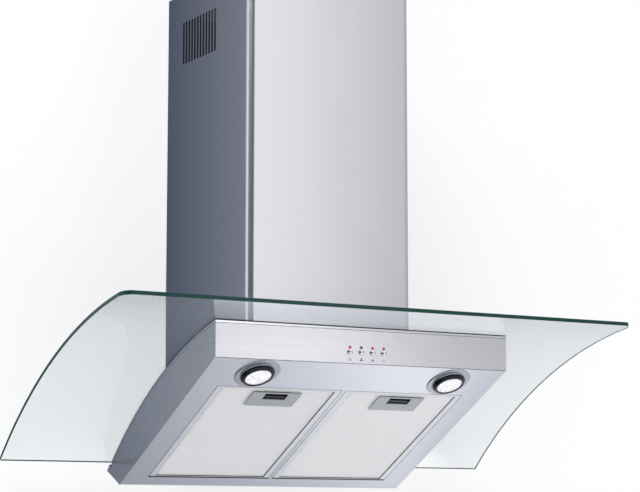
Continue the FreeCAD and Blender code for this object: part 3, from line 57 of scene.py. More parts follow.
# %% A value that varies over a surface
class Field:
    """A number that varies over a surface, usable in ordinary sums."""

    def __init__(self, wiring, socket):
        self.wiring = wiring
        self.socket = socket

    def join(self, operation, first, second):
        made = self.wiring.node("ShaderNodeMath", {"operation": operation}, {0: first, 1: second})
        return Field(self.wiring, made.outputs[0])

    def __add__(self, other):
        return self.join("ADD", self, other)

    def __sub__(self, other):
        return self.join("SUBTRACT", self, other)

    def __rsub__(self, other):
        return self.join("SUBTRACT", other, self)

    def __mul__(self, other):
        return self.join("MULTIPLY", self, other)

    def over(self, limit):
        """1 where the value is above the limit, 0 elsewhere."""
        return self.join("GREATER_THAN", self, limit)

    def within(self, low, high):
        """1 where the value is above low and not above high, 0 elsewhere."""
        return self.over(low) * (1.0 - self.over(high))

    def larger(self, other):
        return self.join("MAXIMUM", self, other)

    def root(self):
        return self.join("POWER", self, 0.5)

    def size(self):
        return self.join("ABSOLUTE", self, 0.0)

    def fraction(self):
        return self.join("FRACT", self, 0.0)

    def ramp(self, start, end, first=0.0, last=1.0):
        """Goes from first to last while the value goes from start to end; level beyond."""
        made = self.wiring.node("ShaderNodeMapRange", {}, {
            "Value": self, "From Min": start, "From Max": end, "To Min": first, "To Max": last,
        })
        return Field(self.wiring, made.outputs[0])

    __radd__ = __add__
    __rmul__ = __mul__


print("a field can be added, multiplied, compared and ramped")

# %% [markdown]
# ## A tree of nodes
#
# Each material is a tree of nodes, and so is the sky.  One method makes a
# node, sets it up and links it, which takes four or five lines by hand.  The
# others make what many finishes share: a place, a noise, a blend of colours,
# a mix of shaders, a bump.

# %% Wiring
class Wiring:
    """Adds nodes to one tree, which belongs to a material or to the sky."""

    def __init__(self, tree):
        self.tree = tree
        self.tree.nodes.clear()

    def node(self, kind, settings, sockets):
        """Make a node, set it up, then give its sockets values or links."""
        made = self.tree.nodes.new(kind)
        for name, value in settings.items():
            setattr(made, name, value)
        for name, value in sockets.items():
            self.feed(made.inputs[name], value)
        return made

    def feed(self, socket, value):
        if isinstance(value, Field):
            value = value.socket
        if isinstance(value, bpy.types.NodeSocket):
            self.tree.links.new(value, socket)
        else:
            socket.default_value = value

    def place(self, kind="Object"):
        """Where a point lies, in metres; in the sky "Generated" is the direction."""
        return self.node("ShaderNodeTexCoord", {}, {}).outputs[kind]

    def surface(self, kind):
        """The way a point faces, "Normal", or 1 where it is seen from behind, "Backfacing"."""
        return self.node("ShaderNodeNewGeometry", {}, {}).outputs[kind]

    def part(self, vector, letter):
        parts = self.node("ShaderNodeSeparateXYZ", {}, {"Vector": vector})
        return Field(self, parts.outputs[letter])

    def along(self, letter, kind="Object"):
        return self.part(self.place(kind), letter)

    def vectors(self, operation, *values):
        """A sum of vectors: its outputs, 0 for a vector and "Value" for a number."""
        sockets = dict(enumerate(values))
        return self.node("ShaderNodeVectorMath", {"operation": operation}, sockets).outputs

    def noise(self, stretch, detail=3.0):
        """Soft random pattern; stretch is how many blobs fit in a metre each way."""
        scaled = self.vectors("MULTIPLY", self.place(), stretch)[0]
        made = self.node("ShaderNodeTexNoise", {},
                         {"Vector": scaled, "Scale": 1.0, "Detail": detail})
        return Field(self, made.outputs[0])

    def speckle(self, density, detail=3.0):
        """The same pattern, equally dense each way."""
        return self.noise((density, density, density), detail)

    def blend(self, amount, first, second):
        """Two colours, mixed by an amount."""
        made = self.node("ShaderNodeMix", {"data_type": "RGBA"}, {0: amount, 6: first, 7: second})
        return made.outputs[2]

    def mix(self, amount, first, second):
        """Two shaders, mixed by an amount."""
        return self.node("ShaderNodeMixShader", {}, {0: amount, 1: first, 2: second}).outputs[0]

    def rays(self):
        """Two fields: seen directly or through glass, and seen by way of a reflection."""
        paths = self.node("ShaderNodeLightPath", {}, {}).outputs
        reflected = Field(self, paths["Glossy Depth"]).over(0.5)
        mirrored = reflected * Field(self, paths["Is Glossy Ray"])
        through = Field(self, paths["Is Transmission Ray"])
        straight = Field(self, paths["Is Camera Ray"]).larger(through)
        return straight * (1.0 - mirrored), mirrored

    def bump(self, height, strength, distance, under=None):
        """Tilts the surface by a height pattern; under is an earlier bump to add it to."""
        sockets = {"Height": height, "Strength": strength, "Distance": distance}
        if under is not None:
            sockets["Normal"] = under
        return self.node("ShaderNodeBump", {}, sockets).outputs[0]


print("a tree can be wired in one line a node")

# %% [markdown]
# ## A material under construction
#
# A material starts as one main shader.  What varies over its surface is set
# by plain names, so that a finish reads as a recipe.

# %% Finish
class Finish(Wiring):
    """A material with one main shader."""

    SOCKETS = {"colour": "Base Color", "roughness": "Roughness", "normal": "Normal",
               "metallic": "Metallic", "glow": "Emission Color"}

    def __init__(self, name, **constants):
        self.material = bpy.data.materials.new(name)
        self.material.use_nodes = True
        super().__init__(self.material.node_tree)
        self.shader = self.node("ShaderNodeBsdfPrincipled", {}, constants).outputs[0]
        self.output = self.node("ShaderNodeOutputMaterial", {}, {"Surface": self.shader})

    def set(self, **sockets):
        for name, value in sockets.items():
            self.feed(self.shader.node.inputs[self.SOCKETS[name]], value)
        return self

    def show(self, shader):
        """Give the surface this shader instead of the main one."""
        self.feed(self.output.inputs["Surface"], shader)
        return self.material


def shade(tone, share=1.0):
    """A tone as a colour, or a darker share of it."""
    return tuple(value * share for value in tone) + (1.0,)


print("a finish can be set by", ", ".join(Finish.SOCKETS))

# %% [markdown]
# ## Stainless steel
#
# The chimney and the pan are brushed: a belt draws fine parallel scratches
# down each panel.  They could be modelled as grooves, but are far too fine.
# A noise that is stretched along the brushing, thousands of streaks to the
# metre across it and a few along it, tilts the surface just enough to smear
# reflections sideways.  A second, coarser one makes the soft stripes that a
# rolled sheet shows, and a broad faint noise stands for wiping and wear.

# %% Brushed steel
FINE = 2200.0
COARSE = 110.0
LONG = 1.5
BROAD = 5.0
WORN = 0.93
DEEP, SHALLOW, POLISHED = 0.00001, 0.000005, 0.000004


def packed(density, brushing):
    """Blobs to the metre each way, few of them along the brushing, if it has a direction."""
    return tuple(LONG if letter == brushing else density for letter in "XYZ")


def brushed(name, brushing, tone, rough, depth, fine=FINE, coarse=COARSE):
    """Each pattern averages one half, so half of what they add to the roughness comes off."""
    finish = Finish(name, Metallic=1.0)
    streaks = finish.noise(packed(fine, brushing))
    stripes = finish.noise(packed(coarse, brushing), 2.0)
    clouds = finish.speckle(BROAD)
    wiped = 0.35 * streaks + 0.3 * stripes + 0.35 * clouds
    colour = finish.blend(wiped, shade(tone, WORN), shade(tone))
    rolled = finish.bump(stripes, 0.2, 2 * depth)
    finish.set(
        colour=colour,
        roughness=rough - 0.08 + 0.06 * streaks + 0.05 * stripes + 0.05 * clouds,
        normal=finish.bump(streaks, 0.18, depth, rolled),
    )
    return finish, colour


def steel(*recipe):
    return brushed(*recipe)[0].material


steel_across = steel("brushed_steel_across", "X", (0.76, 0.75, 0.785), 0.28, SHALLOW)
steel_side = steel("brushed_steel_side", "Y", (0.76, 0.76, 0.785), 0.28, SHALLOW)
galvanised = steel("galvanised_sheet", None, (0.55, 0.56, 0.57), 0.45, DEEP, 300.0, 60.0)
bright = steel("bright_trim", None, (0.78, 0.78, 0.80), 0.20, SHALLOW, 900.0, 50.0)
satin = steel("satin_trim", None, (0.50, 0.505, 0.53), 0.30, SHALLOW, 900.0, 50.0)
chrome = steel("polished_chrome", None, (0.78, 0.79, 0.82), 0.10, POLISHED, 300.0, 40.0)
dark_chrome = steel("dark_chrome", None, (0.035, 0.035, 0.045), 0.10, POLISHED, 300.0, 40.0)
print("seven steels")

# %% [markdown]
# ## Chimney steel
#
# The chimney's sheet is brushed upright.  Its vent slots are cut, and their
# cut edges and a thin band round them get painted shade: near black, not
# metallic, and rough.  The edges of the slots are part of the same solid, so
# the finish finds them by the way they face, along the chimney's depth, and by
# where they are, in its two sides and clear of the front.  The slots repeat at
# an even pitch, so the fraction of a pitch tells how far a point is from the
# nearest slot's middle.

# %% Brushed upright, with painted shade at the slots
CHIMNEY_TONE = (0.735, 0.725, 0.765)
CHIMNEY_ROUGH = 0.28
SIDE_FROM = 0.146
FRONT_UNTIL = -0.270
SQUARE_ON = 0.9
SLOT_PITCH = 0.0104
SLOT_FIRST, SLOT_LAST = -0.1725, -0.0581
SLOT_LOW, SLOT_HIGH = 0.3265, 0.3978
SLOT_SHADE_HALF = 0.0031
PAINTED_SLOT_SHADE = (0.004, 0.005, 0.009, 1.0)
SLOT_SHADE_ROUGHER = 0.6


def slot_shade_band(finish):
    """1 on and close round the slots, where the painted shade goes."""
    y, z = finish.along("Y"), finish.along("Z")
    off_middle = ((y - SLOT_FIRST) * (1 / SLOT_PITCH) + 0.5).fraction() - 0.5
    across = 1.0 - off_middle.size().over(SLOT_SHADE_HALF / SLOT_PITCH)
    in_row = y.within(SLOT_FIRST - SLOT_SHADE_HALF, SLOT_LAST + SLOT_SHADE_HALF)
    return across * in_row * z.within(SLOT_LOW, SLOT_HIGH)


def chimney_steel():
    finish, colour = brushed("brushed_steel_upright", "Z", CHIMNEY_TONE, CHIMNEY_ROUGH, DEEP)
    along_depth = finish.part(finish.surface("Normal"), "Y").size().over(SQUARE_ON)
    in_side = finish.along("X").size().over(SIDE_FROM) * finish.along("Y").over(FRONT_UNTIL)
    # Painted shade: the slots' cut edges and a thin band round them are painted near black.
    slot_shade = in_side * along_depth.larger(slot_shade_band(finish))
    return finish.set(
        colour=finish.blend(slot_shade, colour, PAINTED_SLOT_SHADE),
        metallic=1.0 - slot_shade,
        roughness=CHIMNEY_ROUGH + SLOT_SHADE_ROUGHER * slot_shade,
    ).material


steel_upright = chimney_steel()
print("slots at", SLOT_PITCH, "m, painted shade bands", 2 * SLOT_SHADE_HALF, "m wide")

# %% [markdown]
# ## Painted shade under the filters
#
# Painted shade darkens whatever lies above the underside's own level, such as
# the filters' sides down in the gaps round them, and a band of it lies along
# the low back edge.  The underside slopes, so both are measured from its top
# front corner: the height above the slope, and the distance down it.

# %% Height above the underside
FASCIA_Y = -0.398
FASCIA_BOTTOM = -0.194
SLOPE = math.radians(28.6)


def above_underside(finish):
    """Height of a point above the sloping underside's lower face."""
    back, up = finish.along("Y") - FASCIA_Y, finish.along("Z") - FASCIA_BOTTOM
    return back * math.sin(SLOPE) + up * math.cos(SLOPE)


def down_underside(finish):
    """Distance of a point from the fascia, down the slope."""
    back, up = finish.along("Y") - FASCIA_Y, finish.along("Z") - FASCIA_BOTTOM
    return back * math.cos(SLOPE) - up * math.sin(SLOPE)


print("the underside falls", round(100 * math.tan(SLOPE)), "mm in every 100")

# %% [markdown]
# ## Aluminium
#
# The grease filters are plain rolled aluminium, washed many times: paler than
# steel and much duller.  A little of it is treated as a plain pale surface
# instead of a mirror, which is how oxidised aluminium behaves.

# %% Dull aluminium
PAINTED_GAP_SHADE = (0.015, 0.015, 0.02, 1.0)
GAP_SHADE_START, GAP_SHADE_FULL = 0.0001, 0.0004
LOW_EDGE = 0.3475


def dull(name, tone, rough, metallic, gap_shaded=False):
    finish = Finish(name, Metallic=metallic)
    grain = finish.speckle(1500.0)
    spots = finish.speckle(35.0)
    colour = finish.blend(0.5 * grain + 0.5 * spots, shade(tone, 0.92), shade(tone))
    # Painted shade: darker above the underside's own level, in the gaps round the filters, and
    # along the low back edge.
    if gap_shaded:
        shaded_above = above_underside(finish).ramp(GAP_SHADE_START, GAP_SHADE_FULL)
        shaded_back_edge = down_underside(finish).ramp(LOW_EDGE - GAP_SHADE_FULL, LOW_EDGE)
        colour = finish.blend(shaded_above.larger(shaded_back_edge), colour, PAINTED_GAP_SHADE)
    return finish.set(
        colour=colour,
        roughness=rough - 0.06 + 0.07 * grain + 0.07 * spots,
        normal=finish.bump(grain, 0.2, 0.00002),
    ).material


cassette = dull("cassette_aluminium", (0.80, 0.805, 0.83), 0.40, 0.70, gap_shaded=True)
strands = dull("expanded_aluminium", (1.0, 0.99, 1.0), 0.50, 0.15)
knitted = dull("knitted_aluminium", (0.80, 0.80, 0.82), 0.50, 0.60)
plate_grey = dull("finger_plate", (0.42, 0.435, 0.46), 0.38, 0.50, gap_shaded=True)
print("four kinds of aluminium")

# %% [markdown]
# ## Glass
#
# Seen through its face, clear float glass is almost colourless.  Seen through
# its edge, the light crosses a long way inside and comes out dark green.  A
# renderer could find that by tracing deep inside the sheet, which is slow and
# grainy.  Here the same material asks which way the surface faces: faces that
# look along the bend's radius are clear, and all others are the green edge.

# %% Canopy glass
GLASS_AXIS = (0.0, -0.596, -0.929)
ACROSS_AXIS = (0.0, 1.0, 1.0)
FACE_COSINE = 0.6
EDGE_DARK, EDGE_GREEN = (0.004, 0.030, 0.026, 1.0), (0.010, 0.060, 0.052, 1.0)


def off_radius(finish):
    """1 where the surface doesn't face along the bend's radius."""
    from_axis = finish.vectors("SUBTRACT", finish.place(), GLASS_AXIS)[0]
    radial = finish.vectors("MULTIPLY", from_axis, ACROSS_AXIS)[0]
    unit = finish.vectors("NORMALIZE", radial)[0]
    cosine = finish.vectors("DOT_PRODUCT", unit, finish.surface("Normal"))["Value"]
    return 1.0 - Field(finish, cosine).size().over(FACE_COSINE)


def canopy_glass():
    clear = {"Roughness": 0.02, "IOR": 1.5, "Transmission Weight": 1.0}
    finish = Finish("canopy_glass", **clear)
    haze = finish.speckle(7.0)
    finish.set(
        colour=finish.blend(haze, (0.90, 0.93, 0.94, 1.0), (0.93, 0.955, 0.96, 1.0)),
        roughness=0.02 * haze,
    )
    streaks = finish.noise((40.0, 400.0, 400.0))
    edge = finish.node("ShaderNodeBsdfPrincipled", {}, {
        "Roughness": 0.25, "Specular IOR Level": 0.25,
        "Base Color": finish.blend(streaks, EDGE_DARK, EDGE_GREEN),
    })
    return finish.show(finish.mix(off_radius(finish), finish.shader, edge.outputs[0]))


glass = canopy_glass()
print("glass, bent round an axis at", GLASS_AXIS[1:])

# %% [markdown]
# ## Plastics, rubber, ceramic and lamp glass
#
# Moulded pieces aren't perfectly even: the tool leaves a very fine texture,
# and the gloss varies a little.  One function with a colour and a roughness
# covers them all, because they differ in little else.

# %% Moulded pieces
def moulded(name, tone, rough, grain=900.0, **constants):
    finish = Finish(name, **constants)
    texture = finish.speckle(grain)
    clouds = finish.speckle(30.0)
    return finish.set(
        colour=finish.blend(clouds, shade(tone, 0.8), shade(tone)),
        roughness=rough - 0.05 + 0.1 * clouds,
        normal=finish.bump(texture, 0.15, 0.00003),
    ).material


black_plastic = moulded("black_plastic", (0.035, 0.035, 0.038), 0.42)
white_plastic = moulded("white_plastic", (0.80, 0.80, 0.77), 0.38)
rubber = moulded("seal_rubber", (0.022, 0.022, 0.025), 0.62)
motor_paint = moulded("motor_enamel", (0.10, 0.10, 0.11), 0.35)
ceramic = moulded("lamp_ceramic", (0.82, 0.80, 0.75), 0.7)
board = moulded("board_varnish", (0.03, 0.20, 0.09), 0.3)
capsule = moulded("bulb_glass", (0.97, 0.97, 0.95), 0.08, 200.0, **{"Transmission Weight": 0.9})
ink = moulded("printed_ink", (0.05, 0.05, 0.06), 0.55)
print("eight moulded finishes")

# %% [markdown]
# ## Lamp lens
#
# The lens is pressed from frosted glass with a pebbled face, and it passes
# light on from all round, so it never looks dark.  A weak glow stands for the
# light that it spreads, which saves tracing light through the frosting.

# %% Frosted lens
def frosted_lens():
    finish = Finish("lens_frosted", **{"Emission Strength": 0.10, "Coat Weight": 0.3})
    pebbles = finish.speckle(300.0, 1.0).ramp(0.35, 0.65)
    colour = finish.blend(pebbles, (0.62, 0.64, 0.68, 1.0), (1.0, 0.995, 0.98, 1.0))
    return finish.set(
        colour=colour, glow=colour, roughness=0.25 + 0.15 * pebbles,
        normal=finish.bump(pebbles, 0.5, 0.0004),
    ).material


frosted = frosted_lens()
print("lamp lens")

# %% [markdown]
# ## Pilot lights
#
# Four small lenses show above the buttons, three lit red and the second one
# dark.  They are one solid, so the colour is chosen by where a point lies: the
# side to side place tells which lens it is, and the distance from that lens's
# middle makes it deep red there and gives it a bright rim.

# %% Pilot lights
PITCH = 0.0202
DARK_LIGHT_X = -PITCH / 2
LIGHT_Z = -0.1694
GLOW_MIDDLE, GLOW_RIM = 0.0006, 0.0021
DEEP_RED, BRIGHT_RED = (0.16, 0.004, 0.010, 1.0), (0.72, 0.08, 0.09, 1.0)
LIGHT_OFF, NO_GLOW = (0.07, 0.065, 0.075, 1.0), (0.0, 0.0, 0.0, 1.0)


def pilot_lens():
    finish = Finish("pilot_lens", **{"Emission Strength": 0.3, "Coat Weight": 0.4})
    x = finish.along("X")
    lit = (x - DARK_LIGHT_X).size().over(PITCH / 2)
    across = ((x * (1 / PITCH) + 2.0).fraction() - 0.5) * PITCH
    up = finish.along("Z") - LIGHT_Z
    rim = (across * across + up * up).root().ramp(GLOW_MIDDLE, GLOW_RIM)
    grain = finish.speckle(300.0)
    red = finish.blend(rim, DEEP_RED, BRIGHT_RED)
    return finish.set(
        colour=finish.blend(lit, LIGHT_OFF, red),
        glow=finish.blend(lit, NO_GLOW, red),
        roughness=0.2 + 0.1 * grain,
    ).material


red_lens = pilot_lens()
print("pilot lights at", PITCH, "m")

# %% [markdown]
# ## Who wears what
#
# Each solid keeps its shape and takes one of the finishes.  The chimney's
# panels are brushed upright, the pan's fascia and underside from side to
# side, and its two sides from front to back.

# %% Dress the solids
WEARS = {
    glass: ["glass_canopy"],
    rubber: ["glass_seal", "flange_seal_strip"],
    steel_upright: ["chimney_cover", "chimney_extension"],
    steel_across: ["fascia_panel", "rear_panel", "underside_frame"],
    steel_side: ["left_side_panel", "right_side_panel"],
    cassette: ["filter_frame_left", "filter_frame_right"],
    strands: ["filter_mesh_left", "filter_mesh_right"],
    knitted: ["filter_pack_left", "filter_pack_right"],
    bright: ["rim_frame"],
    satin: ["lamp_trim_left", "lamp_trim_right"],
    dark_chrome: ["lamp_reflector_left", "lamp_reflector_right",
                  "filter_latch_left", "filter_latch_right"],
    galvanised: ["top_deck", "clamping_flange", "blower_box", "motor_bracket",
                 "wall_bracket", "chimney_bracket"],
    chrome: ["canopy_screws", "bracket_bolts", "motor_shaft", "flap_pin",
             "button_fan_slow", "button_fan_fast", "button_light", "button_stop"],
    plate_grey: ["finger_plate_left", "finger_plate_right"],
    black_plastic: ["scroll_left_half", "scroll_right_half", "impeller", "exhaust_collar",
                    "flap_front", "flap_rear", "button_housing", "micro_switches",
                    "lamp_transformer", "mains_gland"],
    white_plastic: ["run_capacitor", "terminal_box"],
    motor_paint: ["fan_motor"],
    ceramic: ["lamp_holders"],
    board: ["control_board"],
    frosted: ["lamp_lens_left", "lamp_lens_right"],
    capsule: ["lamp_bulb_left", "lamp_bulb_right"],
    red_lens: ["pilot_lights"],
}
dressed = set()
for material, names in WEARS.items():
    for name in names:
        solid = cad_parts[name]
        solid.data.materials.clear()
        solid.data.materials.append(material)
        dressed.add(name)
print("left bare:", sorted(set(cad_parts) - dressed))

# %% [markdown]
# ## The sloping underside
#
# The filters lie on a plane that falls from the fascia towards the wall.
# Working there is easier in the plane's own directions: across, along the
# slope, and above it.  One function turns those three into a place.

# %% Places on the slope
UNDERSIDE_LENGTH = 0.377


def on_slope(across, along, above):
    y = FASCIA_Y + along * math.cos(SLOPE) + above * math.sin(SLOPE)
    z = FASCIA_BOTTOM - along * math.sin(SLOPE) + above * math.cos(SLOPE)
    return Vector((across, y, z))


print("low edge at", [round(value, 4) for value in on_slope(0, UNDERSIDE_LENGTH, 0)])

# %% [markdown]
# ## Filter faces
#
# The face of a grease filter is expanded aluminium: a sheet is slit and
# pulled until the slits open into small diamonds, which leaves each strand
# slightly twisted.  A bump map would look flat from the side.  Here every
# diamond is real: four strands each, whose inner edges stand a little higher
# than their outer ones.  None are made where the finger plate's cup is.

# %% One diamond
HOLE_SHARE = 0.66
STRAND_LOW, STRAND_HIGH = 0.0015, 0.0019


def new_piece(name, mesh, material):
    data = bpy.data.meshes.new(name)
    mesh.to_mesh(data)
    mesh.free()
    data.materials.append(material)
    piece = bpy.data.objects.new(name, data)
    bpy.context.scene.collection.objects.link(piece)
    return piece


def diamond(mesh, side, across, along, half_across, half_along):
    """Four strands round one hole."""
    corners = ((half_across, 0), (0, half_along), (-half_across, 0), (0, -half_along))

    def ring(share, above):
        return [mesh.verts.new(on_slope(side * (across + u * share), along + v * share, above))
                for u, v in corners]

    outer = ring(1, STRAND_LOW)
    inner = ring(HOLE_SHARE, STRAND_HIGH)
    for k in range(4):
        after = (k + 1) % 4
        mesh.faces.new((outer[k], outer[after], inner[after], inner[k]))


print("a diamond's hole is", HOLE_SHARE, "of its width")

# %% [markdown]
# ## Two sheets of diamonds
#
# The diamonds stand in rows that are shifted by half a diamond, like bricks,
# so one is made at every second crossing of a fine grid.  Each sheet takes
# the place of a plain drawn plate and rides on the filter that it belongs to.

# %% Expanded metal
FILTER_IN, FILTER_OUT = 0.014, 0.211
FACE_FRONT, FACE_BACK = 0.082, 0.346
DIAMOND_HALF_ACROSS = 0.0025
DIAMOND_HALF_ALONG = 0.0015
SHEET = 0.0002
WELD = 0.00001
CUP_HALF = 0.0225
CUP_FRONT, CUP_BACK = 0.0895, 0.120
FILTER_MIDDLE = (FILTER_IN + FILTER_OUT) / 2


def expanded_face(hand, side):
    mesh = bmesh.new()
    columns = round((FILTER_OUT - FILTER_IN) / DIAMOND_HALF_ACROSS)
    rows = round((FACE_BACK - FACE_FRONT) / DIAMOND_HALF_ALONG)
    half_across = (FILTER_OUT - FILTER_IN) / columns
    half_along = (FACE_BACK - FACE_FRONT) / rows
    for i in range(1, columns):
        for j in range(1, rows):
            across = FILTER_IN + i * half_across
            along = FACE_FRONT + j * half_along
            in_cup = abs(across - FILTER_MIDDLE) < CUP_HALF and CUP_FRONT < along < CUP_BACK
            if (i + j) % 2 == 0 and not in_cup:
                diamond(mesh, side, across, along, half_across, half_along)
    bmesh.ops.remove_doubles(mesh, verts=mesh.verts, dist=WELD)
    piece = new_piece(f"filter_face_{hand}", mesh, strands)
    thick = piece.modifiers.new("sheet", "SOLIDIFY")
    thick.thickness = SHEET
    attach(piece, f"filter_{hand}")
    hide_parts(f"filter_mesh_{hand}")
    return len(piece.data.polygons)


for hand, side in (("left", -1), ("right", 1)):
    print(hand, "face:", expanded_face(hand, side), "strand faces")

# %% [markdown]
# ## Marks under the buttons
#
# A small printed sign under each button says what it does: three small dots
# for the slow fan, three large ones for the fast fan, a dot with rays for the
# lamps and a bar for stop.  They are thin flat shapes, because print has an
# edge but no height to speak of.

# %% Dots and bars
INK = 0.00004
CIRCLE_POINTS = 16


def turned(k, count):
    """The k-th of so many even turns."""
    return 2 * math.pi * k / count


def printed(mesh, outline):
    """A flat shape in ink on the fascia."""
    mesh.faces.new([mesh.verts.new((x, FASCIA_Y - INK, z)) for x, z in outline])


def dot(mesh, x, z, radius):
    printed(mesh, [(x + radius * math.cos(turned(k, CIRCLE_POINTS)),
                    z + radius * math.sin(turned(k, CIRCLE_POINTS)))
                   for k in range(CIRCLE_POINTS)])


def bar(mesh, x, z, turn, near, far, half):
    """A bar that points away from a place, from near to far."""
    right, up = math.cos(turn), math.sin(turn)
    corners = ((near, -half), (far, -half), (far, half), (near, half))
    printed(mesh, [(x + p * right - q * up, z + p * up + q * right) for p, q in corners])


print("ink stands", INK, "m off the fascia")

# %% [markdown]
# ## Four signs
#
# Each sign is centred under its button, so all four are made from the
# buttons' pitch and one height, as a single piece.

# %% Printed signs
MARK_UP = 0.0058
SMALL_DOT, LARGE_DOT, LAMP_DOT = 0.0009, 0.0012, 0.0014
FAN_RADIUS = 0.0017
RAYS = 8
RAY_NEAR, RAY_FAR, RAY_HALF = 0.0019, 0.0027, 0.00025
STOP_HALF_WIDE, STOP_HALF_HIGH = 0.0022, 0.0005


def printed_signs():
    mesh = bmesh.new()
    z = FASCIA_BOTTOM + MARK_UP
    slow, fast, lamps, stop = [(k - 1.5) * PITCH for k in range(4)]
    for x, radius in ((slow, SMALL_DOT), (fast, LARGE_DOT)):
        for k in range(3):
            turn = math.pi / 2 + turned(k, 3)
            dot(mesh, x + FAN_RADIUS * math.cos(turn), z + FAN_RADIUS * math.sin(turn), radius)
    dot(mesh, lamps, z, LAMP_DOT)
    for k in range(RAYS):
        bar(mesh, lamps, z, turned(k, RAYS), RAY_NEAR, RAY_FAR, RAY_HALF)
    bar(mesh, stop, z, 0.0, -STOP_HALF_WIDE, STOP_HALF_WIDE, STOP_HALF_HIGH)
    piece = new_piece("button_signs", mesh, ink)
    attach(piece, "root")
    return len(piece.data.polygons)


print("signs:", printed_signs(), "shapes")

# %% [markdown]
# ## The wall in the mirror
#
# The hood is photographed against white paper, and polished steel would
# mirror that white everywhere, which no kitchen or studio does.  So the paper
# has a second look, for reflections only.  Mirrored, the wall is dark close
# to the chimney and brighter farther out.  Under the hood it goes from grey
# on the left to white on the right, and it is dimmer beyond a slanting line
# to the right of the pan, where the glass mirrors it.

# %% Mirrored wall
MIRROR_DARK = (0.0, 0.02, 0.065, 1.0)
MIRROR_PALE = (1.68, 1.73, 1.81, 1.0)
MIRROR_TOP = 1.8
CHIMNEY_SIDE, CLEAR_OF_CHIMNEY = 0.15, 0.42
GREY_BY_CHIMNEY, GREY_FARTHER = 0.10, 0.34
OPEN_FROM, OPEN_TO = 0.53, 0.66
OPEN_LEFT, OPEN_RIGHT = 0.66, 0.16
LEFT_END, RIGHT_END = -0.3, 0.9
BELOW_MIDDLE, BELOW_RISE = 0.56, 0.75
PAN_SLANT = 0.822
PAN_LINE_FROM, PAN_LINE_TO = -0.055, 0.02
PAST_PAN = 0.34
BELOW_UNTIL, BESIDE_FROM = -0.45, -0.37


def mirrored_wall(finish):
    """How bright the wall is in reflections."""
    x, z = finish.along("X"), finish.along("Z")
    left, right = 0.0 - x, x
    beside = x.size().ramp(CHIMNEY_SIDE, CLEAR_OF_CHIMNEY, GREY_BY_CHIMNEY, GREY_FARTHER)
    beside = beside + left.ramp(OPEN_FROM, OPEN_TO, 0.0, OPEN_LEFT)
    beside = beside + right.ramp(OPEN_FROM, OPEN_TO, 0.0, OPEN_RIGHT)
    across = x.ramp(LEFT_END, RIGHT_END, LEFT_END, RIGHT_END)
    past_pan = (x + z * PAN_SLANT).ramp(PAN_LINE_FROM, PAN_LINE_TO, 1.0, PAST_PAN)
    rising = across * across * BELOW_RISE + across * BELOW_RISE + BELOW_MIDDLE
    below = rising * past_pan
    high = z.ramp(BELOW_UNTIL, BESIDE_FROM)
    return beside * high + below * (1.0 - high)


print("mirrored, the wall is at most", MIRROR_TOP, "times white")

# %% [markdown]
# ## The floor in the mirror, and the covered strip
#
# The underside and the glass mirror the floor, which is dim under the hood
# and brighter to the right; farther out it is pale, so that the hood can be
# looked at from behind too.  The strip of wall inside the chimney gets no
# light, so it is dark for every ray.

# %% Mirrored floor
DIM_UNTIL, PALE_FROM = 0.9, 1.7
FLOOR_LEFT, FLOOR_RIGHT = -0.2, 1.0
FLOOR_DIM, FLOOR_BRIGHT, FLOOR_PALE = 0.06, 1.1, 0.85
COVERED_HALF = 0.1485
COVERED_LOW, COVERED_HIGH = -0.34, 0.447


def mirrored_floor(finish):
    """How bright the floor is in reflections."""
    x, y = finish.along("X"), finish.along("Y")
    far = (x * x + y * y).root().ramp(DIM_UNTIL, PALE_FROM)
    near = x.ramp(FLOOR_LEFT, FLOOR_RIGHT, FLOOR_DIM, FLOOR_BRIGHT)
    return near * (1.0 - far) + FLOOR_PALE * far


def covered(finish):
    """1 on the strip of wall that the chimney covers."""
    x, z = finish.along("X"), finish.along("Z")
    return (1.0 - x.size().over(COVERED_HALF)) * z.within(COVERED_LOW, COVERED_HIGH)


print("the covered strip is", 2 * COVERED_HALF, "m wide")

# %% [markdown]
# ## Paper
#
# To the camera and to rays through the glass, the paper is partly self-lit,
# so it stays white, and partly a plain surface, so the hood's soft shadow
# still shows.  It is one-sided, so that the back of the hood can be looked at
# through the wall.

# %% Paper
def paper(name, mirrored_look, glow_strength, shine, fill):
    """Shine is its self-lit share as seen, fill the same for light that spreads."""
    finish = Finish(name, Roughness=1.0)
    dark = covered(finish)
    grain = finish.speckle(400.0)
    white = finish.blend(grain, (0.90, 0.90, 0.91, 1.0), (0.94, 0.94, 0.945, 1.0))
    finish.set(colour=finish.blend(dark, white, (0.02, 0.024, 0.03, 1.0)))
    seen, mirrored = finish.rays()
    glow = finish.node("ShaderNodeEmission", {}, {"Strength": glow_strength}).outputs[0]
    self_lit = (seen * shine).larger((1.0 - seen) * fill) * (1.0 - dark)
    lit = finish.mix(self_lit, finish.shader, glow)
    look = finish.blend(mirrored_look(finish) * (1 / MIRROR_TOP), MIRROR_DARK, MIRROR_PALE)
    image = finish.node("ShaderNodeEmission", {}, {"Color": look, "Strength": 1.0}).outputs[0]
    whole = finish.mix(mirrored * (1.0 - dark), lit, image)
    nothing = finish.node("ShaderNodeBsdfTransparent", {}, {}).outputs[0]
    return finish.show(finish.mix(finish.surface("Backfacing"), whole, nothing))


wall_paper = paper("wall_paper", mirrored_wall, glow_strength=1.05, shine=0.6, fill=0.0)
floor_paper = paper("floor_paper", mirrored_floor, glow_strength=1.2, shine=0.5, fill=1.0)
print("two papers")

# %% [markdown]
# ## Wall and floor
#
# Both are large flat squares, so that no edge of them is ever seen.  The wall
# stands a millimetre behind the hood's back, and the floor lies well below.

# %% Stage
WALL_Y = 0.001
FLOOR_Z = -1.25
REACH = 8.0
SQUARE = ((-REACH, -REACH), (REACH, -REACH), (REACH, REACH), (-REACH, REACH))


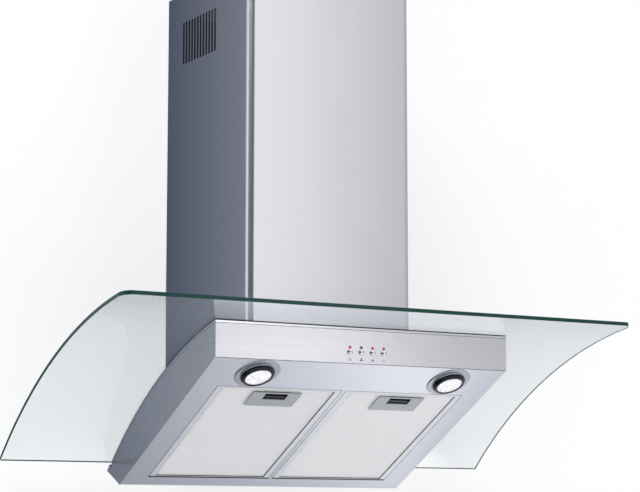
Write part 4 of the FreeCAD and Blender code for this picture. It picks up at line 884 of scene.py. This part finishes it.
def stage_plane(name, corners, material):
    mesh = bmesh.new()
    mesh.faces.new([mesh.verts.new(corner) for corner in corners])
    plane = new_piece(name, mesh, material)


stage_plane("wall", [(x, WALL_Y, z) for x, z in SQUARE], wall_paper)
stage_plane("floor", [(x, y, FLOOR_Z) for x, y in SQUARE], floor_paper)
print("wall and floor,", 2 * REACH, "m square")

# %% [markdown]
# ## Light
#
# A studio for shiny things is mostly large soft boxes.  A tall faint one
# stands in front on the right, where the flat steel mirrors it; its mirrored
# edge falls on the panels, so they go from bright on the left to grey on the
# right.  A smaller and stronger one, high on the left, throws the hood's
# shadow to the right.

# %% Soft boxes
def soft_box(name, place, target, width, height, brightness):
    """Brightness is what a mirror would show, where 1 is white."""
    lamp = bpy.data.lights.new(name, "AREA")
    lamp.shape = "RECTANGLE"
    lamp.size = width
    lamp.size_y = height
    lamp.energy = brightness * math.pi * width * height
    holder = bpy.data.objects.new(name, lamp)
    holder.location = place
    aim = Vector(target) - Vector(place)
    holder.rotation_euler = aim.to_track_quat("-Z", "Y").to_euler()
    bpy.context.scene.collection.objects.link(holder)
    print(name, round(lamp.energy, 1), "W")


soft_box("front_box", place=(0.67, -1.9, 0.25), target=(0.67, 0.0, 0.25),
         width=0.56, height=2.2, brightness=0.80)
soft_box("left_box", place=(-1.7, -1.5, 2.1), target=(0.0, -0.2, 0.0),
         width=1.4, height=1.4, brightness=6.0)

# %% [markdown]
# ## Sky
#
# The rest of the light is a pale sky, grey in front and brighter higher up,
# and plain white where it is looked at directly or through the glass.  It has
# a bright part on the left, like a window, and in front a dark part at and
# above eye level, like the unlit end of a studio.  The chimney's bent edge
# mirrors them as a bright line next to a dark one, and those two lines are
# what makes the bend look round.

# %% Sky
UNLIT_X, UNLIT_Y = -0.500, -0.866
UNLIT_COSINE, UNLIT_EDGE = 0.645, 0.05
UNLIT_UP, UNLIT_INNER, UNLIT_OUTER = 0.17, 0.18, 0.26
WINDOW_COSINE, WINDOW_EDGE = 0.93, 0.04
HIGHER_FROM, HIGHER_TO = 0.35, 0.65
FRONT_GREY, HIGH_WHITE = (0.57, 0.575, 0.595, 1.0), (1.05, 1.06, 1.08, 1.0)
WINDOW_WHITE = (1.02, 1.07, 1.14, 1.0)
UNLIT = (0.015, 0.022, 0.034, 1.0)
WHITE = (1.0, 1.0, 1.0, 1.0)

world = bpy.data.worlds.new("studio")
world.use_nodes = True
bpy.context.scene.world = world
sky = Wiring(world.node_tree)
x, y, up = (sky.along(letter, "Generated") for letter in "XYZ")
level = (x * x + y * y).root()
towards = x * UNLIT_X + y * UNLIT_Y - level * UNLIT_COSINE
off_band = (up - UNLIT_UP).size()
unlit = towards.ramp(0.0, UNLIT_EDGE) * off_band.ramp(UNLIT_OUTER, UNLIT_INNER)
window = (0.0 - x - level * WINDOW_COSINE).ramp(0.0, WINDOW_EDGE)
even = sky.blend(up.ramp(HIGHER_FROM, HIGHER_TO), FRONT_GREY, HIGH_WHITE)
windowed = sky.blend(window, even, WINDOW_WHITE)
studio = sky.blend(unlit, windowed, UNLIT)
seen = sky.rays()[0]
background = sky.node("ShaderNodeBackground", {}, {
    "Color": sky.blend(seen, studio, WHITE),
    "Strength": 1.0,
})
sky.node("ShaderNodeOutputWorld", {}, {"Surface": background.outputs[0]})
print("a pale sky with a window and an unlit part")

# %% [markdown]
# ## Camera
#
# The photograph was taken from the left, a little below the hood, with a long
# lens.  Where it stood follows from the edges of the glass and the chimney.

# %% Camera
PIXELS_WIDE = 640
FOCAL_PIXELS = 2029.3
SENSOR_MM = 36.0
STAND = (-1.6246, -3.0461, -0.4478)
TURN_RIGHT = math.radians(30.2)
TILT_UP = math.radians(8.0)

view = bpy.data.cameras.new("camera")
view.sensor_width = SENSOR_MM
view.lens = SENSOR_MM * FOCAL_PIXELS / PIXELS_WIDE
camera = bpy.data.objects.new("camera", view)
camera.location = STAND
camera.rotation_euler = (math.pi / 2 + TILT_UP, 0.0, -TURN_RIGHT)
bpy.context.scene.collection.objects.link(camera)
bpy.context.scene.camera = camera
bpy.context.scene.view_settings.view_transform = "Standard"
print("lens", round(view.lens, 1), "mm")
